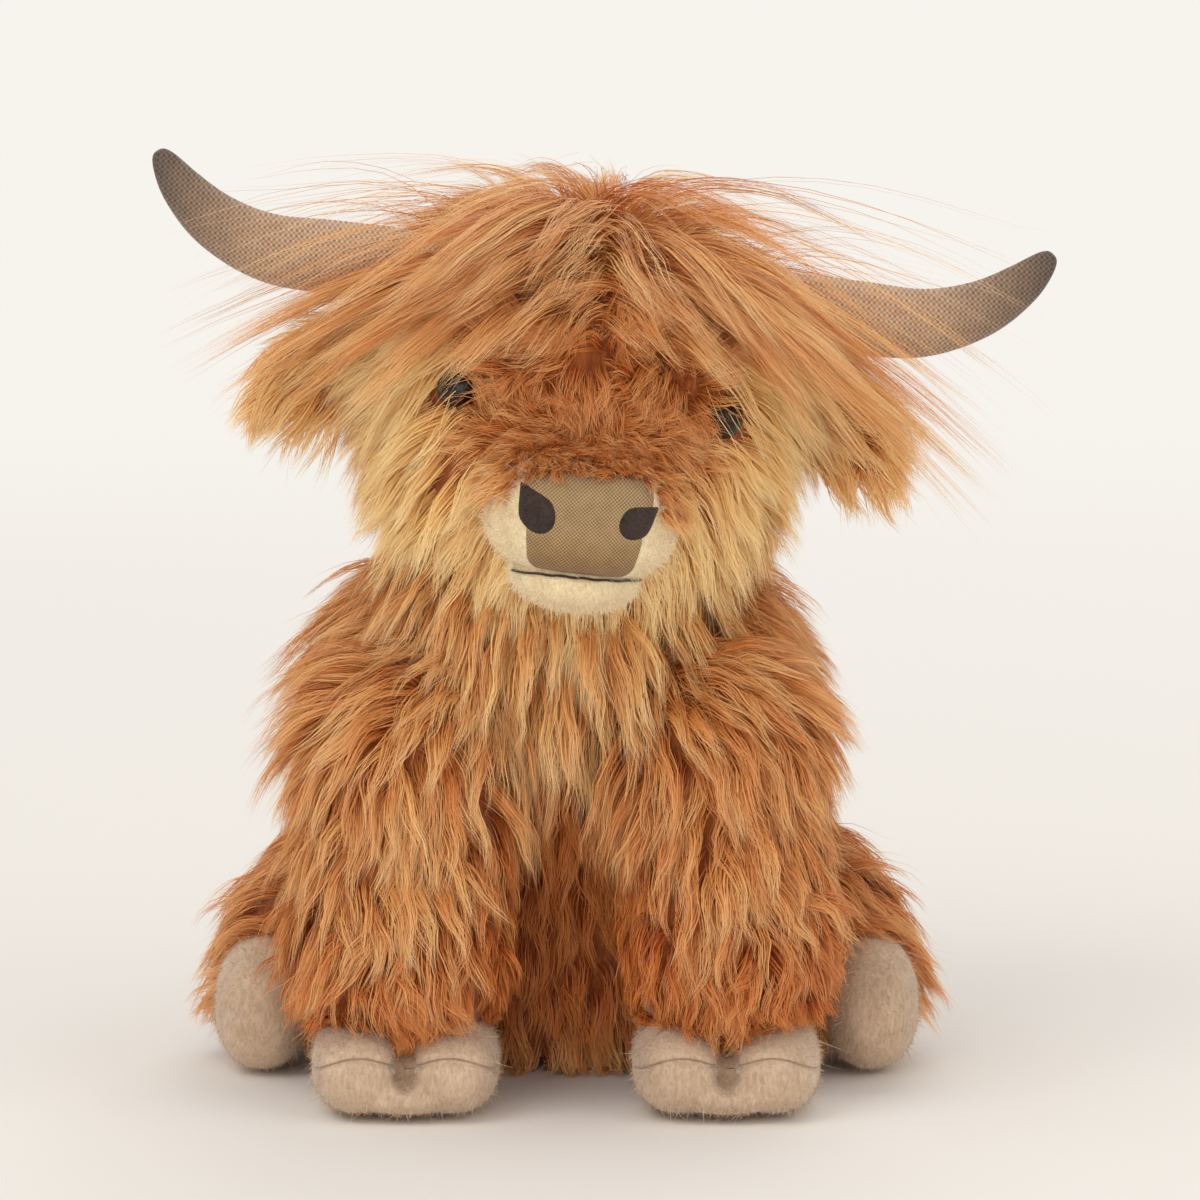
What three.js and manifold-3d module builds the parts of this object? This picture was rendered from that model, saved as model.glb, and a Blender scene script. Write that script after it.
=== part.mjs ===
// A sitting plush highland cow with long fur, knitted horns and soft cloven hooves.
// Millimetres, +Z up. The toy faces -Y, so its own left side is at +X.
// Every soft form is the mean surface of its pile; the long hair itself is left out.
import * as THREE from 'three';
import Module from 'manifold-3d';
import { mergeVertices } from 'three/addons/utils/BufferGeometryUtils.js';

const wasm = await Module();
wasm.setup();

// Clearances
const gap = 0.3;
const mergeTolerance = 0.0001;
const overrun = 60;

// Resolution: sides round a form and rings along it
const formSides = 18;
const formRings = 10;
const limbMesh = { sides: 12, rings: 8 };
const smallMesh = { sides: 10, rings: 6 };
const faceMesh = { sides: 16, rings: 8 };
const coreMesh = { sides: 8, rings: 5 };
const headCoreMesh = { sides: 12, rings: 7 };
const ballSides = 18;
const hornBallSides = 12;
const smallBallSides = 10;
const coreBallSides = 8;
const neckSides = 28;
const plugSides = 10;
const buttonSides = 12;
const shankSides = 8;
const threadCurveSegments = 3;
const patchCurveSegments = 4;

// Cloth thicknesses: fur fabric with its pressed pile, short plush, knit
const furThickness = 8;
const plushThickness = 2.4;
const knitThickness = 1.4;

// Torso: heights of its stations above the floor, with the place and half sizes there
const torso = {
  heights: [-0.5, 42, 84, 122, 152, 182],
  centresBack: [34, 38, 32, 14, 4, 0],
  halfWidths: [70, 79, 80, 77, 66, 40],
  halfDepths: [50, 57, 56, 57, 46, 30],
  bottomFullShare: 0.6,
  topFullShare: 0.333,
};
const floorHeight = 0;

// Neck: the head turns on a round shoulder dome
const neckCentre = new THREE.Vector3(-2.5, -10, 158);
const domeRadius = 46;
const plugRadius = 16;
const plugLength = 30;
const seamThickness = 1;
const seamWidth = 2.2;
const seamLatitude = THREE.MathUtils.degToRad(15);
const shoulderSlope = THREE.MathUtils.degToRad(-11);
const jawSlope = THREE.MathUtils.degToRad(3.5);
const headTilt = THREE.MathUtils.degToRad(7);
const headTurn = THREE.MathUtils.degToRad(3);

// Seat pouch of pellets
const pouch = { back: 36, width: 72, depth: 84, height: 20, fullShare: 0.2 };

// Head, in a frame with its origin at the neck centre
const head = {
  heights: [-8, 24, 56, 92, 125],
  centresBack: [-14, -12, -4, 2, 2],
  halfWidths: [46, 58, 65, 66, 40],
  halfDepths: [44, 56, 60, 62, 38],
  bottomFullShare: 0.333,
  topFullShare: 0.167,
};

// Muzzle and chin: cream plush cushions that stand out of the face
const muzzle = {
  backStart: -38,
  front: -93,
  startHeight: 34,
  frontHeight: 32.5,
  halfWidths: [30, 31, 27],
  halfHeights: [20, 21, 19],
  fullShare: 0.333,
  squareShare: 0.2,
};
const chin = {
  backStart: -46,
  front: -88,
  startHeight: 17,
  frontHeight: 15,
  halfWidths: [20, 23, 17],
  halfHeights: [9, 10.5, 8.5],
  fullShare: 0.167,
  squareShare: 0.091,
};

// Nose patch, nostrils and mouth line
const nose = { topWidth: 45, bottomWidth: 35, bottomHeight: 18.5, topHeight: 51.5, cornerRadius: 6 };
const noseThickness = 1;
const nostril = { width: 10.5, height: 13, spread: 15.5, centreHeight: 36.5, thickness: 0.8 };
const nostrilLean = THREE.MathUtils.degToRad(20);
const mouth = { width: 38, height: 17.5, sag: 1, radius: 0.8, steps: 10 };

// Eyes: domed plastic with a shank through the cloth and a lock washer behind it
const eye = { radius: 7, domeHeight: 5.5, sink: 4, clothGrip: 2.5, shankRadius: 2, spread: 43, height: 65 };
const eyeOutward = THREE.MathUtils.degToRad(36);
const washer = { radius: 6, thickness: 1.6 };

// Forelock: the crown panel, with a fringe that parts in the middle and sweeps out in front of
// the horns and the ears
const forelock = { thickness: 4.5, halfWidth: 38, halfDepth: 56, halfHeight: 32, back: -12, drop: 5 };
const fringe = {
  outs: [7, 38, 73, 100],
  backs: [-8, -15, -29, -29],
  heights: [120, 118, 88, 60],
  halfDepths: [30, 38, 21, 10],
  halfThicknesses: [10, 17, 18, 10],
};
const swingGap = 1.5;
const hornBend = THREE.MathUtils.degToRad(10);
const earFlap = THREE.MathUtils.degToRad(15);

// Horns: knitted, level at first, then curving up to a blunt tip
const hornBall = { radius: 14, out: 60, back: 2, height: 95 };
const horn = {
  outs: [60, 84, 102, 119, 132, 141],
  backs: [2, 0, -2, -4, -5, -6],
  heights: [95, 95.5, 96, 102.5, 112, 123],
  radii: [12.6, 12, 10.8, 8.8, 7, 5.6],
  rootFullShare: 0.667,
  tipFullShare: 0.091,
};

// Ears: flat leaves under the horns
const earBall = { radius: 10, out: 62, back: 6, height: 64 };
const ear = {
  outs: [62, 74, 87, 99],
  backs: [6, 5, 3, 0],
  heights: [64, 62, 56, 47],
  halfHeights: [9, 14, 16, 11],
  halfThicknesses: [7, 7, 6, 4],
};

// Front legs: straight columns that hang from a round shoulder
const shoulder = { radius: 33, out: 46, back: -36, height: 109 };
const frontLeg = {
  outs: [46, 48, 50, 50],
  backs: [-36, -43, -47, -47],
  heights: [109, 80, 50, 21],
  halfWidths: [32, 33, 35, 34],
  halfDepths: [32, 34, 36, 34],
  topFullShare: 0.714,
  bottomFullShare: 0.6,
};
const frontCore = {
  outs: [46, 48, 50, 50],
  backs: [-44, -51, -54, -52],
  heights: [118, 80, 46, 12],
  halfWidths: [20, 24, 26, 17],
  halfDepths: [18, 21, 23, 17],
};
const frontToe = { spread: 14, out: 50, front: -86, backEnd: -22, halfWidth: 16.4, halfHeight: 15.5 };
const toeFullShare = 0.231;
const toeSquareShare = 0.231;
const soleFlat = 0.5;

// Rear legs: round haunches at the sides with a short leg forward to an oval hoof
const hip = { radius: 33, out: 65, back: 40, height: 44 };
const rearLeg = {
  outs: [65, 80, 94],
  backs: [40, 28, 12],
  heights: [44, 34, 25],
  halfWidths: [31, 30, 18],
  halfDepths: [31, 27, 22],
  topFullShare: 0.6,
  footFullShare: 0.333,
};
const rearCore = {
  outs: [70, 92, 97],
  backs: [42, 28, 9],
  heights: [45, 34, 24],
  halfWidths: [24, 20, 13],
  halfDepths: [22, 11, 9],
};
const rearHoof = { out: 96.8, back: 8, halfWidth: 16.2, halfDepth: 26, halfHeight: 22 };

// Tail: a fur tube with a tuft at its end, hanging behind the rump
const tailBall = { radius: 10, back: 88, height: 64 };
const tail = {
  backs: [88, 103, 108, 109],
  heights: [64, 58, 44, 30],
  radii: [7, 7, 6.5, 6],
};
const tuft = { top: 40, bottom: 7, back: 109, halfWidth: 13, halfDepth: 12 };

// Finishes
const furOrange = { color: 0xbe763a, roughness: 0.95 };
const furGolden = { color: 0xd6a062, roughness: 0.95 };
const creamPlush = { color: 0xe1c896, roughness: 0.95 };
const beigePlush = { color: 0xbea082, roughness: 0.95 };
const tanKnit = { color: 0xaa8c5f, roughness: 0.9 };
const hornKnit = { color: 0x8f735c, roughness: 0.9 };
const darkThread = { color: 0x3c2a1e, roughness: 0.9 };
const darkPlastic = { color: 0x1c1410, roughness: 0.15 };
const whitePlastic = { color: 0xe8e6e0, roughness: 0.5 };
const fibre = { color: 0xf2f0ea, roughness: 1 };
const pouchCloth = { color: 0xd9d4c8, roughness: 0.9 };

const vector = (x, y, z) => new THREE.Vector3(x, y, z);
const xAxis = vector(1, 0, 0);
const yAxis = vector(0, 1, 0);
const zAxis = vector(0, 0, 1);

// Solids

/** A closed geometry as a solid that can be joined and cut. */
function solidOf(geometry) {
  const bare = geometry.clone();
  bare.deleteAttribute('normal');
  bare.deleteAttribute('uv');
  const merged = mergeVertices(bare, mergeTolerance);
  const vertProperties = new Float32Array(merged.attributes.position.array);
  const corners = [];
  for (let i = 0; i < merged.index.count; i += 3) {
    const [a, b, c] = merged.index.array.slice(i, i + 3);
    if (a !== b && b !== c && c !== a) corners.push(a, b, c);
  }
  return new wasm.Manifold(new wasm.Mesh({ numProp: 3, vertProperties, triVerts: new Uint32Array(corners) }));
}

/** A solid as a geometry. */
function geometryOf(solid) {
  const { vertProperties, triVerts } = solid.getMesh();
  const geometry = new THREE.BufferGeometry();
  geometry.setAttribute('position', new THREE.BufferAttribute(new Float32Array(vertProperties), 3));
  geometry.setIndex(new THREE.BufferAttribute(new Uint32Array(triVerts), 1));
  geometry.computeVertexNormals();
  return geometry;
}

const cut = (solid, ...tools) => tools.reduce((left, tool) => left.subtract(tool), solid);
const join = (...solids) => solids.reduce((whole, solid) => whole.add(solid));

/** A value read from equally spaced stations with a smooth curve through them. */
function smoothValue(values, share) {
  const place = share * (values.length - 1);
  const index = Math.min(Math.floor(place), values.length - 2);
  const at = (i) => values[THREE.MathUtils.clamp(i, 0, values.length - 1)];
  const t = place - index;
  const slopeIn = (at(index + 1) - at(index - 1)) / 2;
  const slopeOut = (at(index + 2) - at(index)) / 2;
  return (
    (2 * t ** 3 - 3 * t ** 2 + 1) * at(index) +
    (t ** 3 - 2 * t ** 2 + t) * slopeIn +
    (3 * t ** 2 - 2 * t ** 3) * at(index + 1) +
    (t ** 3 - t ** 2) * slopeOut
  );
}

/**
 * A stuffed form that swells and tapers along a path and closes to a point at both ends.
 * widths and depths are half sizes at the path's points, the widths along the across direction.
 * The full shares set how full each end is and the square share how full the section is, from a
 * round 0 towards a flat 1. grow moves the surface outwards and endGrow its two end points.
 */
function swell(form, grow = 0, endGrow = grow) {
  const { points, across, widths, depths } = form;
  const { startFullShare = 0, endFullShare = 0, squareShare = 0 } = form;
  const { sides = formSides, rings = formRings } = form;
  const square = 2 / (1 - squareShare);
  const last = points.length - 1;
  const ends = points.map((point) => point.clone());
  const inward = points[1].clone().sub(points[0]).normalize();
  const outward = points[last].clone().sub(points[last - 1]).normalize();
  ends[0].addScaledVector(inward, -endGrow);
  ends[last].addScaledVector(outward, endGrow);
  const path = new THREE.CatmullRomCurve3(ends, false, 'catmullrom', 0.5);
  const positions = [...ends[0].toArray()];
  for (let ring = 1; ring < rings; ring++) {
    const t = (1 - Math.cos((Math.PI * ring) / rings)) / 2;
    const blunt = 2 / (1 - (t < 0.5 ? startFullShare : endFullShare));
    const fullness = (1 - Math.abs(2 * t - 1) ** blunt) ** (1 / blunt);
    const centre = path.getPoint(t);
    const along = path.getTangent(t);
    const side = across.clone().addScaledVector(along, -along.dot(across)).normalize();
    const up = along.clone().cross(side);
    const width = (smoothValue(widths, t) + grow) * fullness;
    const depth = (smoothValue(depths, t) + grow) * fullness;
    for (let step = 0; step < sides; step++) {
      const angle = (2 * Math.PI * step) / sides;
      const [c, s] = [Math.cos(angle), Math.sin(angle)];
      const point = centre
        .clone()
        .addScaledVector(side, width * Math.sign(c) * Math.abs(c) ** (2 / square))
        .addScaledVector(up, depth * Math.sign(s) * Math.abs(s) ** (2 / square));
      positions.push(...point.toArray());
    }
  }
  positions.push(...ends[last].toArray());
  const geometry = new THREE.BufferGeometry();
  geometry.setAttribute('position', new THREE.Float32BufferAttribute(positions, 3));
  geometry.setIndex(closedIndex(sides, rings - 1));
  return solidOf(geometry);
}

/** Triangles for rings of points between a first and a last point. */
function closedIndex(sides, ringCount) {
  const index = [];
  const at = (ring, step) => 1 + ring * sides + (step % sides);
  const lastPoint = 1 + ringCount * sides;
  for (let step = 0; step < sides; step++) {
    index.push(0, at(0, step + 1), at(0, step));
    index.push(lastPoint, at(ringCount - 1, step), at(ringCount - 1, step + 1));
    for (let ring = 0; ring < ringCount - 1; ring++) {
      index.push(at(ring, step), at(ring, step + 1), at(ring + 1, step + 1));
      index.push(at(ring, step), at(ring + 1, step + 1), at(ring + 1, step));
    }
  }
  return index;
}

/** A ball round an axis, with its corners on its radius. */
function ball(centre, radius, axis = zAxis, sides = ballSides) {
  const geometry = new THREE.SphereGeometry(radius, sides, Math.round(sides / 2));
  geometry.applyQuaternion(new THREE.Quaternion().setFromUnitVectors(yAxis, axis));
  geometry.translate(...centre.toArray());
  return solidOf(geometry);
}

/**
 * A ball whose flats clear one of the given radius that turns about the axis. A rough one, with
 * fewer sides than the ball that it clears, stands off it between its rings too.
 */
function hollowBall(centre, radius, axis, sides, rough = false) {
  const flat = Math.cos(Math.PI / sides);
  return ball(centre, (radius + gap) / (rough ? flat * flat : flat), axis, sides);
}

/** A turned solid from a closed outline of [radius, height] corners, its axis along +Z. */
function turned(corners, sides) {
  const outline = [...corners, corners[0]].map(([radius, height]) => new THREE.Vector2(radius, height));
  const geometry = new THREE.LatheGeometry(outline, sides);
  geometry.rotateX(Math.PI / 2);
  return solidOf(geometry);
}

/** A cylinder from one height to another on the Z axis. */
function cylinder(radius, low, high, sides) {
  const geometry = new THREE.CylinderGeometry(radius, radius, high - low, sides);
  geometry.rotateX(Math.PI / 2);
  geometry.translate(0, 0, (low + high) / 2);
  return solidOf(geometry);
}

/** A box between two corners. */
function block(low, high) {
  const size = high.clone().sub(low);
  const geometry = new THREE.BoxGeometry(...size.toArray());
  geometry.translate(...low.clone().addScaledVector(size, 0.5).toArray());
  return solidOf(geometry);
}

/** The region under the floor, to cut a form flat. */
const floorReach = 3 * rearHoof.out;
const underFloor = block(
  new THREE.Vector3(-floorReach, -floorReach, floorHeight - overrun),
  new THREE.Vector3(floorReach, floorReach, floorHeight),
);

/** Everything above (or below) a cone round the neck's centre that rises at a slope. */
function coneRegion(slope, above) {
  const reach = 3 * domeRadius;
  const rim = reach * Math.tan(slope);
  const far = (above ? 1 : -1) * reach;
  const corners = [[0, 0], [reach, rim], [reach, far], [0, far]];
  return turned(above ? corners : corners.reverse(), neckSides);
}

/** The point where a straight line first meets a solid. */
function meet(solid, from, direction) {
  const mesh = new THREE.Mesh(geometryOf(solid), new THREE.MeshBasicMaterial({ side: THREE.DoubleSide }));
  const hits = new THREE.Raycaster(from, direction.clone().normalize()).intersectObject(mesh);
  return hits[0].point;
}

// The scene graph

const cow = new THREE.Group();
const headGroup = new THREE.Group();
headGroup.position.copy(neckCentre);
headGroup.rotation.set(0, headTilt, headTurn, 'YZX');
cow.add(headGroup);

/** Adds a solid to a group as a named mesh. */
function addPiece(group, name, solid, finish) {
  const mesh = new THREE.Mesh(geometryOf(solid), new THREE.MeshStandardMaterial({ metalness: 0, ...finish }));
  mesh.name = name;
  group.add(mesh);
}

/** The form of a body part that stands upright, from its table of heights. */
function uprightForm(part) {
  return {
    points: part.heights.map((height, i) => vector(0, part.centresBack[i], height)),
    across: xAxis,
    widths: part.halfWidths,
    depths: part.halfDepths,
    startFullShare: part.bottomFullShare,
    endFullShare: part.topFullShare,
  };
}

// The toy's two sides

const flanks = [
  { name: 'left', sign: 1 },
  { name: 'right', sign: -1 },
];

/** The centre of a round joint on one side. */
const jointCentre = (joint, sign = 1) => vector(sign * (joint.out ?? 0), joint.back, joint.height);

/** The form of a limb on one side from its table, with its width across the given direction. */
function limbForm(limb, sign, across, widths, depths, rest = {}) {
  const points = limb.heights.map((height, i) => vector(sign * (limb.outs?.[i] ?? 0), limb.backs[i], height));
  return { points, across, widths, depths, ...limbMesh, ...rest };
}

/** A straight cushion between two points with the same half sizes all along. */
function cushion(from, to, width, depth, rest = {}) {
  const sizes = { widths: [width, width], depths: [depth, depth] };
  return { points: [from, to], across: xAxis, ...sizes, ...smallMesh, ...rest };
}

// Torso

const torsoForm = uprightForm(torso);
const atNeck = (solid) => solid.translate(neckCentre.toArray());
const aboveShoulders = atNeck(coneRegion(shoulderSlope, true));

/** The torso's outer solid with the dome that carries the head, grown by a distance. */
function torsoSolid(grow) {
  const trunk = swell(torsoForm, grow).subtract(aboveShoulders.translate([0, 0, grow]));
  return trunk.add(ball(neckCentre, domeRadius + grow, zAxis, neckSides));
}

/** The room inside the torso's fabric, drawn in by a clearance. */
function torsoRoom(clearance) {
  const inset = furThickness + clearance;
  const trunk = swell({ ...torsoForm, ...coreMesh }, -inset, furThickness);
  const shoulders = trunk.subtract(aboveShoulders.translate([0, 0, -inset]));
  return shoulders.subtract(underFloor.translate([0, 0, inset])).add(ball(neckCentre, domeRadius - inset));
}

const pouchHeight = furThickness + gap + pouch.height / 2;
const pouchForm = cushion(
  vector(0, pouch.back - pouch.depth / 2, pouchHeight),
  vector(0, pouch.back + pouch.depth / 2, pouchHeight),
  pouch.width / 2,
  pouch.height / 2,
  { startFullShare: pouch.fullShare, endFullShare: pouch.fullShare, ...coreMesh },
);

// The neck's surfaces clear each other whichever way the head is turned
const neckFlat = Math.cos(Math.PI / neckSides) ** 2;
const seamRadius = (domeRadius + gap) / neckFlat;
const neckHollowRadius = (seamRadius + seamThickness + gap) / neckFlat;

/** The neck's plug of filling, or the well that it turns in: a short round column with a domed top. */
function neckPlug(radius, clearance) {
  const column = cylinder(radius, domeRadius - plugLength - clearance, 2 * domeRadius, plugSides);
  return atNeck(column.intersect(ball(vector(0, 0, 0), seamRadius + seamThickness, zAxis, neckSides)));
}

/** The closing seam: a band of thread that lies on the dome. */
function seamBand() {
  const outer = seamRadius + seamThickness;
  const halfAngle = seamWidth / 2 / domeRadius;
  const corner = (radius, angle) => [radius * Math.cos(angle), radius * Math.sin(angle)];
  const [low, high] = [seamLatitude - halfAngle, seamLatitude + halfAngle];
  const outside = [corner(outer, low), corner(outer, high)];
  const corners = [corner(seamRadius, low), ...outside, corner(seamRadius, high)];
  return atNeck(turned(corners, neckSides));
}

/** The hollows for the legs and the tail, rough ones for the filling. */
function torsoSockets(rough) {
  const legSides = rough ? coreBallSides : ballSides;
  const tailSides = rough ? coreBallSides : smallBallSides;
  const legs = flanks.flatMap(({ sign }) => [
    hollowBall(jointCentre(shoulder, sign), shoulder.radius, xAxis, legSides, rough),
    hollowBall(jointCentre(hip, sign), hip.radius, xAxis, legSides, rough),
  ]);
  return [...legs, hollowBall(jointCentre(tailBall), tailBall.radius, yAxis, tailSides, rough)];
}

const neckWell = neckPlug((plugRadius + gap) / Math.cos(Math.PI / plugSides), gap);
const torsoSkin = cut(torsoSolid(0), torsoRoom(0), neckWell, ...torsoSockets(false), underFloor);
const torsoFilling = cut(torsoRoom(gap), neckWell, swell(pouchForm, gap), ...torsoSockets(true));
const pelletPouch = cut(torsoRoom(gap).intersect(swell(pouchForm)), ...torsoSockets(true));
const torsoClear = torsoSolid(2 * gap);

addPiece(cow, 'torso_fur_skin', torsoSkin, furOrange);
addPiece(cow, 'torso_stuffing', torsoFilling, fibre);
addPiece(cow, 'pellet_pouch', pelletPouch, pouchCloth);
addPiece(cow, 'neck_stuffing', neckPlug(plugRadius, 0), fibre);
addPiece(cow, 'neck_seam_thread', seamBand(), darkThread);

// Front legs

/** A front hoof: a pair of toes side by side, grown by a distance. */
function frontHoofSolid(sign, grow, mesh) {
  const height = frontToe.halfHeight - soleFlat;
  const toes = [-1, 1].map((toe) => {
    const x = sign * frontToe.out + toe * frontToe.spread;
    const from = vector(x, frontToe.front, height);
    const to = vector(x, frontToe.backEnd, height);
    const full = { startFullShare: toeFullShare, endFullShare: toeFullShare, squareShare: toeSquareShare };
    const rest = { ...full, ...mesh };
    return swell(cushion(from, to, frontToe.halfWidth, frontToe.halfHeight, rest), grow);
  });
  return join(...toes);
}

for (const { name, sign } of flanks) {
  const root = ball(jointCentre(shoulder, sign), shoulder.radius, xAxis);
  const form = limbForm(frontLeg, sign, xAxis, frontLeg.halfWidths, frontLeg.halfDepths, {
    startFullShare: frontLeg.topFullShare,
    endFullShare: frontLeg.bottomFullShare,
  });
  const core = limbForm(frontCore, sign, xAxis, frontCore.halfWidths, frontCore.halfDepths, coreMesh);
  const legOuter = join(root, swell(form)).subtract(torsoClear.subtract(root));
  const hoofInside = (clearance) => frontHoofSolid(sign, -plushThickness - clearance, coreMesh);
  const hoofOuter = frontHoofSolid(sign, 0, smallMesh);
  const hoof = cut(hoofOuter, hoofInside(0), swell(form, gap), swell(core), underFloor);
  addPiece(cow, `front_leg_fur_${name}`, cut(legOuter, swell(core), hoofInside(0)), furOrange);
  addPiece(cow, `front_leg_stuffing_${name}`, join(swell(core, -gap), hoofInside(gap)), fibre);
  addPiece(cow, `front_hoof_${name}`, hoof, beigePlush);
}

// Rear legs

/** The region of the torso's widest girth on one side, which a rear leg slides past as it lifts. */
function besideTorso(sign) {
  const centre = jointCentre(hip, sign);
  const widest = Math.max(...torso.halfWidths) + gap;
  const low = vector(-widest, centre.y - 3 * hip.radius, floorHeight - overrun);
  const high = vector(widest, centre.y + 2 * hip.radius, centre.z + 2 * hip.radius);
  return block(low, high);
}

for (const { name, sign } of flanks) {
  const root = ball(jointCentre(hip, sign), hip.radius, xAxis);
  const form = limbForm(rearLeg, sign, zAxis, rearLeg.halfWidths, rearLeg.halfDepths, {
    startFullShare: rearLeg.topFullShare,
    endFullShare: rearLeg.footFullShare,
  });
  const core = limbForm(rearCore, sign, zAxis, rearCore.halfWidths, rearCore.halfDepths, coreMesh);
  const height = rearHoof.halfHeight - soleFlat;
  const from = vector(sign * rearHoof.out, rearHoof.back - rearHoof.halfDepth, height);
  const to = vector(sign * rearHoof.out, rearHoof.back + rearHoof.halfDepth, height);
  const hoofForm = cushion(from, to, rearHoof.halfWidth, rearHoof.halfHeight, { ...limbMesh });
  const hoofInside = (clearance) => swell({ ...hoofForm, ...coreMesh }, -plushThickness - clearance);
  const torsoFlank = besideTorso(sign).subtract(root);
  const legOuter = cut(join(root, swell(form)), torsoFlank, swell(hoofForm, gap), underFloor);
  const hoof = cut(swell(hoofForm), hoofInside(0), swell(core), underFloor);
  addPiece(cow, `rear_leg_fur_${name}`, legOuter.subtract(swell(core)), furOrange);
  addPiece(cow, `rear_leg_stuffing_${name}`, join(swell(core, -gap), hoofInside(gap)), fibre);
  addPiece(cow, `rear_hoof_${name}`, hoof, beigePlush);
}

// Tail

const tailForm = limbForm(tail, 0, xAxis, tail.radii, tail.radii, coreMesh);
const tuftForm = cushion(
  vector(0, tuft.back, tuft.top), vector(0, tuft.back, tuft.bottom), tuft.halfWidth, tuft.halfDepth, coreMesh,
);
const tailRoot = ball(jointCentre(tailBall), tailBall.radius, yAxis, smallBallSides);
const tailSolid = join(tailRoot, swell(tailForm)).subtract(torsoClear.subtract(tailRoot));
addPiece(cow, 'tail', tailSolid.subtract(swell(tuftForm, gap)), furOrange);
addPiece(cow, 'tail_tuft', swell(tuftForm), furGolden);

// Head

const headForm = uprightForm(head);
const headOuter = swell(headForm);
const headClear = swell(headForm, gap);
const belowJaw = coneRegion(jawSlope, false);

/** The room inside the head's fabric, drawn in by a clearance. */
const headRoom = (clearance) => swell({ ...headForm, ...headCoreMesh }, -furThickness - clearance);

/** A form that stands out of the face, from its table. */
function faceForm(part, mesh) {
  return {
    points: [
      vector(0, part.backStart, part.startHeight),
      vector(0, (part.backStart + part.front) / 2, (part.startHeight + part.frontHeight) / 2),
      vector(0, part.front, part.frontHeight),
    ],
    across: xAxis,
    widths: part.halfWidths,
    depths: part.halfHeights,
    startFullShare: part.fullShare,
    endFullShare: part.fullShare,
    squareShare: part.squareShare,
    ...mesh,
  };
}
const muzzleForm = faceForm(muzzle, faceMesh);
const muzzleRoom = (clearance) => swell({ ...muzzleForm, ...coreMesh }, -plushThickness - clearance);
const chinForm = faceForm(chin, limbMesh);

// The mouth line follows the muzzle just above the chin
const muzzleOuter = swell(muzzleForm);
const mouthPoints = Array.from({ length: mouth.steps + 1 }, (_, i) => {
  const share = (2 * i) / mouth.steps - 1;
  const height = mouth.height - mouth.sag * (1 - share ** 2);
  const place = vector((share * mouth.width) / 2, 2 * muzzle.front, height);
  return meet(muzzleOuter, place, yAxis);
});

/** A round thread along the mouth line. */
function mouthThread(radius) {
  const section = new THREE.Shape().absarc(0, 0, radius, 0, 2 * Math.PI);
  const extrudePath = new THREE.CatmullRomCurve3(mouthPoints);
  const options = { steps: mouth.steps, curveSegments: threadCurveSegments, extrudePath };
  return solidOf(new THREE.ExtrudeGeometry(section, options));
}

/** A thin layer that lies over the muzzle at a distance from it, inside an outline of its front view. */
function muzzleLayer(outline, from, thickness) {
  const options = { depth: -muzzle.front, bevelEnabled: false, curveSegments: patchCurveSegments };
  const geometry = new THREE.ExtrudeGeometry(outline, options);
  geometry.rotateX(Math.PI / 2);
  geometry.translate(0, (muzzle.front + muzzle.backStart) / 2, 0);
  const layer = swell(muzzleForm, from + thickness).subtract(swell(muzzleForm, from));
  return layer.intersect(solidOf(geometry));
}

/** The nose's outline: a rounded trapezoid, wider at its top. */
function noseOutline() {
  const { topWidth, bottomWidth, bottomHeight, topHeight, cornerRadius } = nose;
  const outline = new THREE.Shape();
  outline.moveTo(-bottomWidth / 2 + cornerRadius, bottomHeight);
  outline.lineTo(bottomWidth / 2 - cornerRadius, bottomHeight);
  outline.quadraticCurveTo(bottomWidth / 2, bottomHeight, bottomWidth / 2, bottomHeight + cornerRadius);
  outline.lineTo(topWidth / 2, topHeight - cornerRadius);
  outline.quadraticCurveTo(topWidth / 2, topHeight, topWidth / 2 - cornerRadius, topHeight);
  outline.lineTo(-topWidth / 2 + cornerRadius, topHeight);
  outline.quadraticCurveTo(-topWidth / 2, topHeight, -topWidth / 2, topHeight - cornerRadius);
  outline.lineTo(-bottomWidth / 2, bottomHeight + cornerRadius);
  outline.quadraticCurveTo(-bottomWidth / 2, bottomHeight, -bottomWidth / 2 + cornerRadius, bottomHeight);
  return outline;
}

/** One nostril's outline: an oval that leans outwards. */
function nostrilOutline(sign) {
  const { width, height, spread, centreHeight } = nostril;
  return new THREE.Shape().absellipse(
    sign * spread, centreHeight, width / 2, height / 2, 0, 2 * Math.PI, false, sign * nostrilLean,
  );
}

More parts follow.
